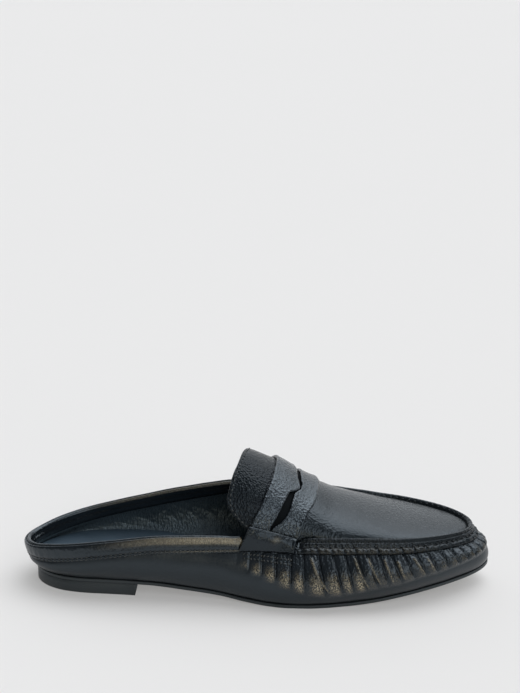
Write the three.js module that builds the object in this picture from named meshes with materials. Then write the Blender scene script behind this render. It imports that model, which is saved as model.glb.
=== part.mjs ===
// Loafer mule, right shoe: a low backless-style slip-on with a gathered vamp, a raised moccasin seam
// round the apron, a slotted saddle strap and a bound collar that is cut low behind the heel.
// Millimetres, +X to the toe, +Y to the inner (medial) side, +Z up from the floor.
import * as THREE from "three";

// Sole and heel
const soleLength = 258;
const ballWidth = 82;
const outsoleThickness = 2;
const heelHeight = 7.2;
const heelBlockLength = 60;
const heelBreastSlant = 1.7;
const heelBreastHollow = 3;
const toeSpring = 10.4;
const insoleThickness = 3;
const insoleEase = 0.7; // between the insole's edge and the wall
const featherInset = 0.4;

// Upper
const wallThickness = 1.8;
const sideHeight = 35; // rim above the outsole at the waist
const instepRise = 32; // top of the tongue above the rim line
const vampBulge = 6.5; // how far the vamp swells past a straight wall
const rimOverhang = 5.2; // the rim leans back past the sole
const apronSetback = 12.5; // tip of the apron behind the tip of the sole
const apronBack = 126; // where the throat edge comes down to the rim

// Overlays
const bandWidth = 10;
const bandInnerWidth = 9;
const bandThickness = 1.3;
const ridgeWidth = 8.4;
const ridgeHeight = 3.5;
const strapWidth = 25;
const strapThickness = 1.4;
const slotWidth = 4.8;
const tabThickness = 1.3;
const tabRoll = 1.6;
const tabBack = 117; // lower rear corner of each strap tab
const tabLength = 31;
const clearance = 0.3;
const curvedClearance = 0.45; // under overlays that bend both ways

const deg = Math.PI / 180;
const wholeTurn = 2 * Math.PI;
const mix = (a, b, t) => a + (b - a) * t;
const clamp = (value, low, high) => Math.min(high, Math.max(low, value));
const steps = (count) => Array.from({ length: count + 1 }, (_, i) => i / count);

// A table of sections: the first column says where, each other column becomes a smooth monotone curve
function table(columns, rows) {
  const names = columns.split(" ");
  const where = rows.map((row) => row[0]);
  const curves = {};
  names.slice(1).forEach((name, i) => {
    curves[name] = smoothCurve(where, rows.map((row) => row[i + 1]));
  });
  return curves;
}

// Cubic through the given values that never overshoots them; beyond the ends the value stays
function smoothCurve(xs, ys) {
  const last = xs.length - 1;
  const slopes = xs.slice(1).map((x, i) => (ys[i + 1] - ys[i]) / (x - xs[i]));
  const tangents = xs.map((_, i) => {
    if (i === 0 || i === last) return slopes[Math.min(i, last - 1)];
    const before = slopes[i - 1];
    const after = slopes[i];
    return before * after <= 0 ? 0 : (2 * before * after) / (before + after);
  });
  return (value) => {
    const x = clamp(value, xs[0], xs[last]);
    const i = Math.max(0, Math.min(last - 1, xs.findIndex((edge) => edge > x) - 1));
    const k = x >= xs[last] ? last - 1 : i;
    const span = xs[k + 1] - xs[k];
    const t = (x - xs[k]) / span;
    const near = (1 + 2 * t) * (1 - t) ** 2 * ys[k] + t * t * (3 - 2 * t) * ys[k + 1];
    return near + span * (t * (1 - t) ** 2 * tangents[k] - t * t * (1 - t) * tangents[k + 1]);
  };
}

// Sole plan and profile: widths as shares of ballWidth, rises as shares of heelHeight and toeSpring
const soleRows = table("along lateral medial heel toe", [
  [0.00, 0.335, 0.274, 1.00, 0.00],
  [0.05, 0.335, 0.287, 1.00, 0.00],
  [0.10, 0.329, 0.317, 1.00, 0.00],
  [0.20, 0.348, 0.333, 1.00, 0.00],
  [0.25, 0.366, 0.323, 0.99, 0.00],
  [0.34, 0.387, 0.293, 0.71, 0.00],
  [0.41, 0.412, 0.299, 0.45, 0.00],
  [0.47, 0.461, 0.341, 0.19, 0.00],
  [0.52, 0.498, 0.390, 0.05, 0.00],
  [0.56, 0.513, 0.427, 0.00, 0.00],
  [0.60, 0.515, 0.457, 0.00, 0.00],
  [0.64, 0.502, 0.479, 0.00, 0.00],
  [0.68, 0.480, 0.493, 0.00, 0.02],
  [0.74, 0.454, 0.500, 0.00, 0.12],
  [0.80, 0.432, 0.494, 0.00, 0.30],
  [0.88, 0.402, 0.463, 0.00, 0.57],
  [0.94, 0.384, 0.439, 0.00, 0.78],
  [1.00, 0.378, 0.427, 0.00, 1.00],
]);

// Rim and apron edge: widths as shares of ballWidth, heights above the outsole as shares of sideHeight
const rimRows = table("along lateral medial lateralHeight medialHeight", [
  [-0.03, 0.341, 0.268, 0.422, 0.411],
  [0.00, 0.341, 0.276, 0.462, 0.443],
  [0.04, 0.346, 0.302, 0.540, 0.506],
  [0.11, 0.359, 0.344, 0.646, 0.603],
  [0.20, 0.377, 0.378, 0.748, 0.743],
  [0.25, 0.380, 0.385, 0.803, 0.826],
  [0.32, 0.388, 0.390, 0.886, 0.978],
  [0.38, 0.393, 0.395, 0.947, 1.101],
  [0.44, 0.398, 0.398, 1.002, 1.211],
  [0.48, 0.395, 0.393, 1.021, 1.249],
  [0.53, 0.371, 0.371, 0.982, 1.231],
  [0.58, 0.351, 0.351, 0.948, 1.180],
  [0.66, 0.349, 0.351, 0.943, 1.100],
  [0.72, 0.340, 0.351, 0.920, 1.017],
  [0.78, 0.324, 0.344, 0.857, 0.912],
  [0.85, 0.299, 0.323, 0.771, 0.803],
  [0.92, 0.273, 0.295, 0.674, 0.703],
  [0.97, 0.256, 0.280, 0.594, 0.600],
]);

// Lower edge of band and ridge: outward as a share of ridgeWidth, down from the rim as a share of bandWidth
const seamRows = table("along out down", [
  [0.00, 0.08, 0.90],
  [0.05, 0.08, 1.00],
  [0.20, 0.18, 0.98],
  [0.30, 0.20, 1.00],
  [0.38, 0.22, 0.97],
  [0.46, 0.26, 0.86],
  [0.54, 0.66, 0.55],
  [0.60, 0.95, 0.45],
  [0.66, 1.00, 0.43],
  [0.78, 0.95, 0.42],
  [0.85, 0.89, 0.43],
  [0.92, 0.80, 0.47],
  [0.97, 0.71, 0.50],
]);

// Swell of the wall along the foot as a share of vampBulge
const bulgeRows = table("along swell", [
  [0.00, 0.34],
  [0.10, 0.34],
  [0.30, 0.46],
  [0.45, 0.69],
  [0.60, 1.00],
  [0.75, 1.00],
  [0.90, 0.69],
  [1.00, 0.38],
]);

// Crown of apron and tongue above the rim as a share of instepRise
const crownRows = table("along rise", [
  [0.38, 1.24],
  [0.465, 1.06],
  [0.505, 0.92],
  [0.55, 0.765],
  [0.585, 0.59],
  [0.63, 0.43],
  [0.66, 0.33],
  [0.70, 0.26],
  [0.76, 0.187],
  [0.81, 0.14],
  [0.87, 0.094],
  [0.92, 0.060],
  [0.952, 0.045],
]);

// Throat edge across the arch, 0 lateral to 1 medial: distance behind apronBack as a share of instepRise
const throatRows = table("across back", [
  [0.00, 0.00],
  [0.035, 0.05],
  [0.056, 0.12],
  [0.103, 0.295],
  [0.135, 0.40],
  [0.17, 0.475],
  [0.20, 0.488],
  [0.266, 0.445],
  [0.33, 0.40],
  [0.42, 0.317],
  [0.54, 0.25],
  [0.65, 0.20],
  [0.76, 0.22],
  [0.84, 0.26],
  [0.90, 0.25],
  [0.95, 0.13],
  [1.00, 0.00],
]);

// Saddle strap across the arch from the lateral rim to the medial one: middle as a share of soleLength,
// width as a share of strapWidth, slot middle as a share of half the strap, slot as a share of slotWidth
const strapRows = table("across middle width slotMiddle slot", [
  [0.02, 0.530, 1.08, -0.20, 0.00],
  [0.05, 0.532, 1.10, -0.22, 0.00],
  [0.075, 0.534, 1.11, -0.20, 0.25],
  [0.115, 0.538, 1.09, -0.06, 0.66],
  [0.17, 0.545, 1.02, 0.02, 0.86],
  [0.215, 0.550, 0.98, 0.05, 0.87],
  [0.27, 0.557, 0.97, 0.02, 0.68],
  [0.33, 0.565, 0.98, -0.03, 0.52],
  [0.375, 0.569, 0.98, 0.08, 0.28],
  [0.42, 0.572, 0.98, 0.23, 0.30],
  [0.46, 0.573, 0.97, 0.19, 0.36],
  [0.50, 0.575, 0.96, 0.09, 0.42],
  [0.60, 0.576, 0.96, 0.02, 0.46],
  [0.73, 0.568, 0.97, 0.02, 0.68],
  [0.80, 0.559, 0.98, 0.04, 0.87],
  [0.86, 0.550, 1.02, 0.02, 0.84],
  [0.90, 0.544, 1.06, -0.08, 0.55],
  [0.95, 0.536, 1.10, -0.20, 0.00],
  [0.98, 0.531, 1.08, -0.20, 0.00],
]);

// Raised seam in cross-section: across as a share of its base, height as a share of ridgeHeight
const ridgeProfile = [
  [0.00, 0.15],
  [0.10, 0.48],
  [0.27, 0.60],
  [0.42, 0.58],
  [0.52, 0.50],
  [0.62, 0.70],
  [0.74, 0.93],
  [0.88, 1.00],
  [0.99, 0.78],
  [1.01, 0.30],
];

// Sole surface heights at a distance along the shoe
const along = (x) => x / soleLength;
const soleBottomAt = (x) => soleRows.heel(along(x)) * heelHeight + soleRows.toe(along(x)) * toeSpring;
const soleTopAt = (x) => soleBottomAt(x) + outsoleThickness;

// Closed ring round the shoe: turn 0 at the heel, half a turn at the toe, lateral side first.
// Its ends are rounded as ellipses, backRound and frontRound long.
const easeIn = (distance, length) => Math.sqrt(1 - clamp(1 - distance / length, 0, 1) ** 2);
function ring({ back, front, backRound, frontRound, lateral, medial, lateralHeight, medialHeight }) {
  const halfTurn = (x) => Math.acos(1 - 2 * clamp((x - back) / (front - back), 0, 1));
  const point = (turn, inset = 0) => {
    const x = mix(back + inset, front - inset, (1 - Math.cos(turn)) / 2);
    const side = Math.sin(turn) >= 0 ? -1 : 1;
    const rounded = easeIn(x - back - inset, backRound) * easeIn(front - inset - x, frontRound);
    const middle = (medial(x) - lateral(x)) / 2;
    const half = (medial(x) + lateral(x)) / 2 - inset;
    const share = (1 + side * rounded) / 2;
    return new THREE.Vector3(x, middle + side * half * rounded, mix(lateralHeight(x), medialHeight(x), share));
  };
  return { point, halfTurn, back, front };
}

const soleRing = ring({
  back: 0,
  front: soleLength,
  backRound: 0.132 * soleLength,
  frontRound: 0.31 * soleLength,
  lateral: (x) => soleRows.lateral(along(x)) * ballWidth,
  medial: (x) => soleRows.medial(along(x)) * ballWidth,
  lateralHeight: soleTopAt,
  medialHeight: soleTopAt,
});
// The rim table gives the finished collar; the wall stops short of it under the binding
const bandRise = curvedClearance + bandThickness + wallThickness / 2;
const rimDrop = (x) => bandRise * clamp((apronBack - x) / (0.08 * soleLength) + 0.5, 0, 1);
const rimRing = ring({
  back: -rimOverhang,
  front: soleLength - apronSetback,
  backRound: 0.155 * soleLength,
  frontRound: 0.178 * soleLength,
  lateral: (x) => rimRows.lateral(along(x)) * ballWidth,
  medial: (x) => rimRows.medial(along(x)) * ballWidth,
  lateralHeight: (x) => soleTopAt(x) + rimRows.lateralHeight(along(x)) * sideHeight - rimDrop(x),
  medialHeight: (x) => soleTopAt(x) + rimRows.medialHeight(along(x)) * sideHeight - rimDrop(x),
});
const seamOut = (x) => seamRows.out(along(x)) * ridgeWidth;
const seamDown = (x) => seamRows.down(along(x)) * bandWidth;
const seamRing = ring({
  back: 0.16 * bandWidth - rimOverhang,
  front: soleLength - apronSetback + 0.65 * ridgeWidth,
  backRound: 0.14 * soleLength,
  frontRound: 0.2 * soleLength,
  lateral: (x) => rimRows.lateral(along(x)) * ballWidth + seamOut(x),
  medial: (x) => rimRows.medial(along(x)) * ballWidth + seamOut(x),
  lateralHeight: (x) => soleTopAt(x) + rimRows.lateralHeight(along(x)) * sideHeight - seamDown(x),
  medialHeight: (x) => soleTopAt(x) + rimRows.medialHeight(along(x)) * sideHeight - seamDown(x),
});

// Outer skin of the upper in a cross-section: level -1 at the feather edge, 0 at the seam line,
// 1 at the rim, 2 at the crown, and down the other side to 5
function skin(turn, level) {
  if (level > 2) return skin(wholeTurn - turn, 4 - level);
  const seam = seamRing.point(turn);
  if (level <= 0) {
    const feather = soleRing.point(turn, featherInset);
    feather.z += clearance;
    const ahead = seamRing.point(turn + 0.01);
    const behind = seamRing.point(turn - 0.01);
    const outward = new THREE.Vector3(ahead.y - behind.y, behind.x - ahead.x, 0).normalize();
    const swell = 4 * (level + 1) * -level * bulgeRows.swell(along(seam.x)) * vampBulge;
    return feather.lerp(seam, level + 1).addScaledVector(outward, swell);
  }
  const rim = rimRing.point(turn);
  if (level <= 1) return seam.lerp(rim, level);
  const arch = (level - 1) * 90 * deg;
  const farRim = rimRing.point(wholeTurn - turn);
  const rise = crownRows.rise(along(rim.x)) * instepRise * easeIn(rimRing.front - rim.x, 0.04 * soleLength);
  rim.lerp(farRim, (1 - Math.cos(arch)) / 2);
  rim.z += rise * Math.sin(arch);
  return rim;
}

// Outward normal of the skin; behind the throat it doesn't look past the rim
const normalTurn = 0.012;
const normalLevel = 0.08;
function skinNormal(turn, level) {
  const x = rimRing.point(turn).x;
  const pastRim = clamp((x - apronBack) / (0.06 * soleLength), 0, 1);
  const above = level <= 1 && level + normalLevel > 1 ? mix(1, level + normalLevel, pastRim) : level + normalLevel;
  const below = Math.max(level - normalLevel, -1);
  const forward = skin(turn + normalTurn, level).sub(skin(turn - normalTurn, level));
  const upward = skin(turn, above).sub(skin(turn, below));
  return forward.cross(upward).normalize();
}

const lifted = (turn, level, lift) => skin(turn, level).addScaledVector(skinNormal(turn, level), lift);
const turnAt = (x, medialSide) => (medialSide ? wholeTurn - rimRing.halfTurn(x) : rimRing.halfTurn(x));

// Collects matching outer and inner points and closes them into one solid with a wall between
class Shell {
  constructor() {
    this.outer = [];
    this.inner = [];
    this.faces = [];
    this.known = new Map();
  }

  point(outer, inner) {
    const key = [outer.x, outer.y, outer.z].map((value) => Math.round(value * 500)).join();
    if (!this.known.has(key)) {
      this.known.set(key, this.outer.push(outer) - 1);
      this.inner.push(inner);
    }
    return this.known.get(key);
  }

  face(a, b, c) {
    if (a !== b && b !== c && c !== a) this.faces.push([a, b, c]);
  }

  // Grid of columns, each a list of point numbers; skip says which cells stay open
  grid(columns, skip = () => false) {
    columns.slice(1).forEach((next, i) => {
      const column = columns[i];
      column.slice(1).forEach((_, j) => {
        if (skip(i, j)) return;
        this.face(column[j], next[j], next[j + 1]);
        this.face(column[j], next[j + 1], column[j + 1]);
      });
    });
  }

  geometry() {
    const count = this.outer.length;
    const edges = new Map();
    this.faces.forEach(([a, b, c]) => [[a, b], [b, c], [c, a]].forEach(([p, q]) => edges.set(`${p},${q}`, [p, q])));
    const triangles = [];
    this.faces.forEach(([a, b, c]) => triangles.push(a, b, c, count + c, count + b, count + a));
    edges.forEach(([p, q]) => {
      if (!edges.has(`${q},${p}`)) triangles.push(q, p, count + p, q, count + p, count + q);
    });
    const points = [...this.outer, ...this.inner];
    return closedGeometry(points, triangles);
  }
}

// Indexed geometry with its faces turned outward
function closedGeometry(points, triangles) {
  let volume = 0;
  for (let i = 0; i < triangles.length; i += 3) {
    const [a, b, c] = [points[triangles[i]], points[triangles[i + 1]], points[triangles[i + 2]]];
    volume += a.dot(b.clone().cross(c));
  }
  const geometry = new THREE.BufferGeometry();
  geometry.setAttribute("position", new THREE.Float32BufferAttribute(points.flatMap((p) => p.toArray()), 3));
  geometry.setIndex(volume < 0 ? [...triangles].reverse() : triangles);
  geometry.computeVertexNormals();
  return geometry;
}

// Flat-bedded plate that fills the sole outline, with its ends closed to a point
function plate(inset, bottomAt, topAt) {
  const shell = new Shell();
  const columns = steps(44).map((share) => {
    const turn = share * Math.PI;
    const lateral = soleRing.point(turn, inset);
    const medial = soleRing.point(wholeTurn - turn, inset);
    return steps(3).map((across) => {
      const edge = lateral.clone().lerp(medial, across);
      return shell.point(
        new THREE.Vector3(edge.x, edge.y, topAt(edge.x)),
        new THREE.Vector3(edge.x, edge.y, bottomAt(edge.x)),
      );
    });
  });
  shell.grid(columns);
  return shell.geometry();
}

function makeOutsole() {
  return plate(0, soleBottomAt, soleTopAt);
}

function makeInsole() {
  const inset = featherInset + wallThickness + insoleEase;
  return plate(inset, (x) => soleTopAt(x) + clearance, (x) => soleTopAt(x) + clearance + insoleThickness);
}

// Stacked heel under the rear of the sole, with a hollow, slightly slanted breast
function makeHeel() {
  const shell = new Shell();
  const inset = clearance;
  const place = (share, across, length, height) => {
    const x = mix(inset, length, 1 - Math.cos(share * 90 * deg));
    const turn = soleRing.halfTurn(x);
    const lateral = soleRing.point(turn, inset);
    const medial = soleRing.point(wholeTurn - turn, inset);
    const hollow = heelBreastHollow * 4 * across * (1 - across) * share ** 4;
    return new THREE.Vector3(share === 0 ? inset : x - hollow, mix(lateral.y, medial.y, across), height);
  };
  const columns = steps(14).map((share) => steps(6).map((across) => shell.point(
    place(share, across, heelBlockLength, heelHeight - clearance),
    place(share, across, heelBlockLength - heelBreastSlant, 0),
  )));
  shell.grid(columns);
  return shell.geometry();
}

// Hollow upper: wall all round, and apron with tongue across the front
const wallLevels = [-1, -0.87, -0.72, -0.55, -0.38, -0.22, -0.1, 0, 0.5, 0.88, 1];
function makeUpper() {
  const shell = new Shell();
  const wallPoint = (turn, level) => {
    const outer = skin(turn, level);
    const inner = lifted(turn, level, -wallThickness);
    if (level === -1) inner.z = outer.z;
    return shell.point(outer, inner);
  };
  const frontTurn = rimRing.halfTurn(apronBack);
  const rear = steps(15).slice(0, -1).map((share) => share * frontTurn);
  const front = steps(23).map((share) => mix(frontTurn, Math.PI, share));
  const lateralTurns = [...rear, ...front];
  const medialTurns = lateralTurns.slice(1, -1).map((turn) => wholeTurn - turn).reverse();
  const turns = [...lateralTurns, ...medialTurns, wholeTurn];
  shell.grid(turns.map((turn) => wallLevels.map((level) => wallPoint(turn, level))));
  const arch = steps(16);
  const shares = steps(23);
  shell.grid(shares.map((share) => arch.map((across) => {
    const edge = apronBack - throatRows.back(across) * instepRise;
    const middle = rimRing.halfTurn(edge);
    const turn = mix(middle, Math.PI, share);
    const level = 1 + 2 * across;
    return shell.point(skin(turn, level), lifted(turn, level, -wallThickness));
  })));
  return shell.geometry();
}

// Saddle strap over the apron, with its slot left open
function makeStrap() {
  const shell = new Shell();
  const across = [0.03, 0.05, 0.075, 0.115, 0.165, 0.215, 0.27, 0.33, 0.375, 0.42, 0.46, 0.5];
  const places = [...across, ...across.slice(0, -1).reverse().map((share) => 1 - share)];
  const columns = places.map((share) => {
    const middle = strapRows.middle(share) * soleLength;
    const half = (strapRows.width(share) * strapWidth) / 2;
    const slotMiddle = middle + strapRows.slotMiddle(share) * half;
    const slotHalf = (strapRows.slot(share) * slotWidth) / 2;
    const edges = [middle - half, slotMiddle - slotHalf, slotMiddle + slotHalf, middle + half];
    const stations = [
      edges[0],
      mix(edges[0], edges[1], 0.5),
      edges[1],
      edges[2],
      mix(edges[2], edges[3], 0.5),
      edges[3],
    ];
    return stations.map((x) => {
      const turn = turnAt(x, false);
      const level = 1 + 2 * share;
      return shell.point(
        lifted(turn, level, curvedClearance + strapThickness),
        lifted(turn, level, curvedClearance),
      );
    });
  });
  shell.grid(columns, (i, j) => j === 2);
  return shell.geometry();
}

// Raised two-lobe seam from one tab round the toe to the other; its ends slant with the tabs' front ends
const ridgeFoot = tabBack + tabLength + 4 * clearance;
const ridgeHead = ridgeFoot + 0.34 * ridgeWidth;
function makeSeamRidge() {
  const shell = new Shell();
  const footTurn = seamRing.halfTurn(ridgeFoot);
  const headTurn = rimRing.halfTurn(ridgeHead);
  const columns = steps(48).map((share) => ridgeProfile.map(([base, height]) => {
    const first = mix(footTurn, headTurn, base);
    const turn = mix(first, wholeTurn - first, share);
    const foot = skin(turn, 0);
    const top = skin(turn, 1);
    const outward = skinNormal(turn, 0.5);
    const seat = Math.min(base, 0.965);
    const outer = foot.clone().lerp(top, base).addScaledVector(outward, clearance + height * ridgeHeight);
    return shell.point(outer, foot.lerp(top, seat).addScaledVector(outward, clearance));
  }));
  shell.grid(columns);
  return shell.geometry();
}

// How far the head of each tab lies forward of its foot, at the rear end and at the front end
const tabLean = 0.19 * tabLength;
const tabFrontLean = 0.045 * tabLength;

// Collar binding: outer leg, round over the rim and inner leg, from tab to tab behind the heel
function makeCollarBand() {
  const shell = new Shell();
  const profile = [
    ...[0, 0.5, 1].map((share) => ({ leg: "outer", share })),
    ...[36, 72, 108, 144].map((angle) => ({ leg: "top", angle })),
    ...[0, 0.5, 1].map((share) => ({ leg: "inner", share })),
  ];
  const place = (turn, spot, lift) => {
    const foot = skin(turn, 0);
    const rim = skin(turn, 1);
    const upward = rim.clone().sub(foot);
    const height = upward.length();
    upward.normalize();
    const outward = skinNormal(turn, 0.4);
    const radius = wallThickness / 2 + lift;
    if (spot.leg === "outer") return foot.addScaledVector(upward, spot.share * height).addScaledVector(outward, lift);
    const middle = rim.addScaledVector(outward, -wallThickness / 2);
    if (spot.leg === "inner") {
      const down = -spot.share * Math.min(bandInnerWidth, height);
      return middle.addScaledVector(outward, -radius).addScaledVector(upward, down);
    }
    const angle = spot.angle * deg;
    return middle.addScaledVector(outward, radius * Math.cos(angle)).addScaledVector(upward, radius * Math.sin(angle));
  };
  const columns = steps(52).map((share) => profile.map((spot) => {
    const lean = spot.leg === "outer" ? spot.share : 1;
    const gap = 1.5 * clearance;
    const last = mix(seamRing.halfTurn(tabBack - gap), rimRing.halfTurn(tabBack + 0.45 * tabLean - gap), lean);
    const turn = mix(-last, last, share);
    return shell.point(
      place(turn, spot, curvedClearance + bandThickness),
      place(turn, spot, curvedClearance),
    );
  }));
  shell.grid(columns);
  return shell.geometry();
}

// Strap tab over the seam, from the seam line up onto the end of the strap
function makeTab(medialSide) {
  const shell = new Shell();
  const columns = steps(10).map((share) => {
    const foot = tabBack + share * tabLength;
    const head = foot + mix(tabLean, tabFrontLean, share);
    const footTurn = medialSide ? wholeTurn - seamRing.halfTurn(foot) : seamRing.halfTurn(foot);
    const headTurn = turnAt(head, medialSide);
    const level = 1 + mix(0.16, 0.075, share);
    const overStrap = 2 * curvedClearance + strapThickness;
    const bottom = [clearance, clearance + tabThickness].map((lift) => lifted(footTurn, 0, lift));
    const top = [overStrap, overStrap + tabThickness].map((lift) => lifted(headTurn, level, lift));
    const outward = skinNormal(footTurn, 0.5);
    return steps(7).map((up) => {
      const roll = tabRoll * 4 * up * (1 - up);
      const inner = bottom[0].clone().lerp(top[0], up).addScaledVector(outward, roll * 0.5);
      const outer = bottom[1].clone().lerp(top[1], up).addScaledVector(outward, roll);
      return shell.point(outer, inner);
    });
  });
  shell.grid(columns);
  return shell.geometry();
}

const leather = new THREE.MeshStandardMaterial({ color: 0x15181c, roughness: 0.38, metalness: 0 });
const binding = new THREE.MeshStandardMaterial({ color: 0x121519, roughness: 0.42, metalness: 0 });
const lining = new THREE.MeshStandardMaterial({ color: 0x16242c, roughness: 0.6, metalness: 0 });
const soleRubber = new THREE.MeshStandardMaterial({ color: 0x101214, roughness: 0.62, metalness: 0 });

const pieces = [
  ["outsole", makeOutsole(), soleRubber],
  ["heel", makeHeel(), soleRubber],
  ["insole", makeInsole(), lining],
  ["upper", makeUpper(), leather],
  ["seam_ridge", makeSeamRidge(), leather],
  ["strap", makeStrap(), leather],
  ["tab_lateral", makeTab(false), leather],
  ["tab_medial", makeTab(true), leather],
  ["collar_band", makeCollarBand(), binding],
];

const shoe = new THREE.Group();
pieces.forEach(([name, geometry, material]) => {
  const mesh = new THREE.Mesh(geometry, material.clone());
  mesh.name = name;
  shoe.add(mesh);
});

// The origin is under the middle of the shoe, on the floor
const extent = new THREE.Box3().setFromObject(shoe);
const centre = extent.getCenter(new THREE.Vector3());
shoe.position.set(-centre.x, -centre.y, -extent.min.z);

export default shoe;
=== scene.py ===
# Loafer mule, right shoe: leather, seams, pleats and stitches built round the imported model
import math
import bmesh
import bpy
import numpy as np
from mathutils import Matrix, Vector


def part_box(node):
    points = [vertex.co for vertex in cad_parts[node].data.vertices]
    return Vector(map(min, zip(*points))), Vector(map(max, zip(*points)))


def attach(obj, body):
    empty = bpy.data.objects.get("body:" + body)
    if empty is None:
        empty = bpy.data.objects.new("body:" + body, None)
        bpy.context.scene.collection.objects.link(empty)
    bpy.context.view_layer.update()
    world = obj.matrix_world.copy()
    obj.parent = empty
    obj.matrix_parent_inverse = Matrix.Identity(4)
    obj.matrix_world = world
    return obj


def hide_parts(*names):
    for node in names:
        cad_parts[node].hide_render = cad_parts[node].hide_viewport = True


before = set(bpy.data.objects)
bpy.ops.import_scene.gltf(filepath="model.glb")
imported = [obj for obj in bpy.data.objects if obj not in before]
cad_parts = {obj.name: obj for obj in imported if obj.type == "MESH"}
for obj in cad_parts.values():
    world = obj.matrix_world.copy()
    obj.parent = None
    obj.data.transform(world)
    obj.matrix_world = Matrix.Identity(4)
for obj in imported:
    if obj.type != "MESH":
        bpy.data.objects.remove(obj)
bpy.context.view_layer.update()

# The last in millimetres: heel at x 0, +X to the toe, +Y to the inner side, +Z up
last = dict(
    soleLength=258,
    ballWidth=82,
    outsoleThickness=2,
    heelHeight=7.2,
    toeSpring=10.4,
    featherInset=0.4,
    wallThickness=1.8,
    sideHeight=35,
    instepRise=32,
    vampBulge=6.5,
    rimOverhang=5.2,
    apronSetback=12.5,
    apronBack=126,
    bandWidth=10,
    bandThickness=1.3,
    ridgeWidth=8.4,
    clearance=0.3,
    curvedClearance=0.45,
)
soleLength = last["soleLength"]
ballWidth = last["ballWidth"]


# Cubic through the values that never overshoots: tangents are harmonic means of the slopes on each side
def smoothCurve(xs, ys):
    xs = np.array(xs, float)
    ys = np.array(ys, float)
    slopes = np.diff(ys) / np.diff(xs)
    tangents = np.empty_like(ys)
    tangents[0], tangents[-1] = slopes[0], slopes[-1]
    product = slopes[:-1] * slopes[1:]
    total = slopes[:-1] + slopes[1:]
    tangents[1:-1] = np.where(product > 0, 2 * product / np.where(product > 0, total, 1), 0)

    def curve(x):
        x = np.clip(x, xs[0], xs[-1])
        k = np.clip(np.searchsorted(xs, x, side="right") - 1, 0, len(xs) - 2)
        span = xs[k + 1] - xs[k]
        t = (x - xs[k]) / span
        values = (1 + 2 * t) * (1 - t) ** 2 * ys[k] + t * t * (3 - 2 * t) * ys[k + 1]
        return values + span * (t * (1 - t) ** 2 * tangents[k] - t * t * (1 - t) * tangents[k + 1])

    return curve


# A table of sections: the first column says where, each other column becomes a smooth curve
def table(columns, rows):
    names = columns.split()
    data = np.array(rows, float)
    return {name: smoothCurve(data[:, 0], data[:, i + 1]) for i, name in enumerate(names[1:])}


soleRows = table("along lateral medial heel toe", [
    [0.00, 0.335, 0.274, 1.00, 0.00],
    [0.05, 0.335, 0.287, 1.00, 0.00],
    [0.10, 0.329, 0.317, 1.00, 0.00],
    [0.20, 0.348, 0.333, 1.00, 0.00],
    [0.25, 0.366, 0.323, 0.99, 0.00],
    [0.34, 0.387, 0.293, 0.71, 0.00],
    [0.41, 0.412, 0.299, 0.45, 0.00],
    [0.47, 0.461, 0.341, 0.19, 0.00],
    [0.52, 0.498, 0.390, 0.05, 0.00],
    [0.56, 0.513, 0.427, 0.00, 0.00],
    [0.60, 0.515, 0.457, 0.00, 0.00],
    [0.64, 0.502, 0.479, 0.00, 0.00],
    [0.68, 0.480, 0.493, 0.00, 0.02],
    [0.74, 0.454, 0.500, 0.00, 0.12],
    [0.80, 0.432, 0.494, 0.00, 0.30],
    [0.88, 0.402, 0.463, 0.00, 0.57],
    [0.94, 0.384, 0.439, 0.00, 0.78],
    [1.00, 0.378, 0.427, 0.00, 1.00],
])
rimRows = table("along lateral medial lateralHeight medialHeight", [
    [-0.03, 0.341, 0.268, 0.422, 0.411],
    [0.00, 0.341, 0.276, 0.462, 0.443],
    [0.04, 0.346, 0.302, 0.540, 0.506],
    [0.11, 0.359, 0.344, 0.646, 0.603],
    [0.20, 0.377, 0.378, 0.748, 0.743],
    [0.25, 0.380, 0.385, 0.803, 0.826],
    [0.32, 0.388, 0.390, 0.886, 0.978],
    [0.38, 0.393, 0.395, 0.947, 1.101],
    [0.44, 0.398, 0.398, 1.002, 1.211],
    [0.48, 0.395, 0.393, 1.021, 1.249],
    [0.53, 0.371, 0.371, 0.982, 1.231],
    [0.58, 0.351, 0.351, 0.948, 1.180],
    [0.66, 0.349, 0.351, 0.943, 1.100],
    [0.72, 0.340, 0.351, 0.920, 1.017],
    [0.78, 0.324, 0.344, 0.857, 0.912],
    [0.85, 0.299, 0.323, 0.771, 0.803],
    [0.92, 0.273, 0.295, 0.674, 0.703],
    [0.97, 0.256, 0.280, 0.594, 0.600],
])
seamRows = table("along out down", [
    [0.00, 0.08, 0.90],
    [0.05, 0.08, 1.00],
    [0.20, 0.18, 0.98],
    [0.30, 0.20, 1.00],
    [0.38, 0.22, 0.97],
    [0.46, 0.26, 0.86],
    [0.54, 0.66, 0.55],
    [0.60, 0.95, 0.45],
    [0.66, 1.00, 0.43],
    [0.78, 0.95, 0.42],
    [0.85, 0.89, 0.43],
    [0.92, 0.80, 0.47],
    [0.97, 0.71, 0.50],
])
bulgeRows = table("along swell", [
    [0.00, 0.34],
    [0.10, 0.34],
    [0.30, 0.46],
    [0.45, 0.69],
    [0.60, 1.00],
    [0.75, 1.00],
    [0.90, 0.69],
    [1.00, 0.38],
])
crownRows = table("along rise", [
    [0.38, 1.24],
    [0.465, 1.06],
    [0.505, 0.92],
    [0.55, 0.765],
    [0.585, 0.59],
    [0.63, 0.43],
    [0.66, 0.33],
    [0.70, 0.26],
    [0.76, 0.187],
    [0.81, 0.14],
    [0.87, 0.094],
    [0.92, 0.060],
    [0.952, 0.045],
])
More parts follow.
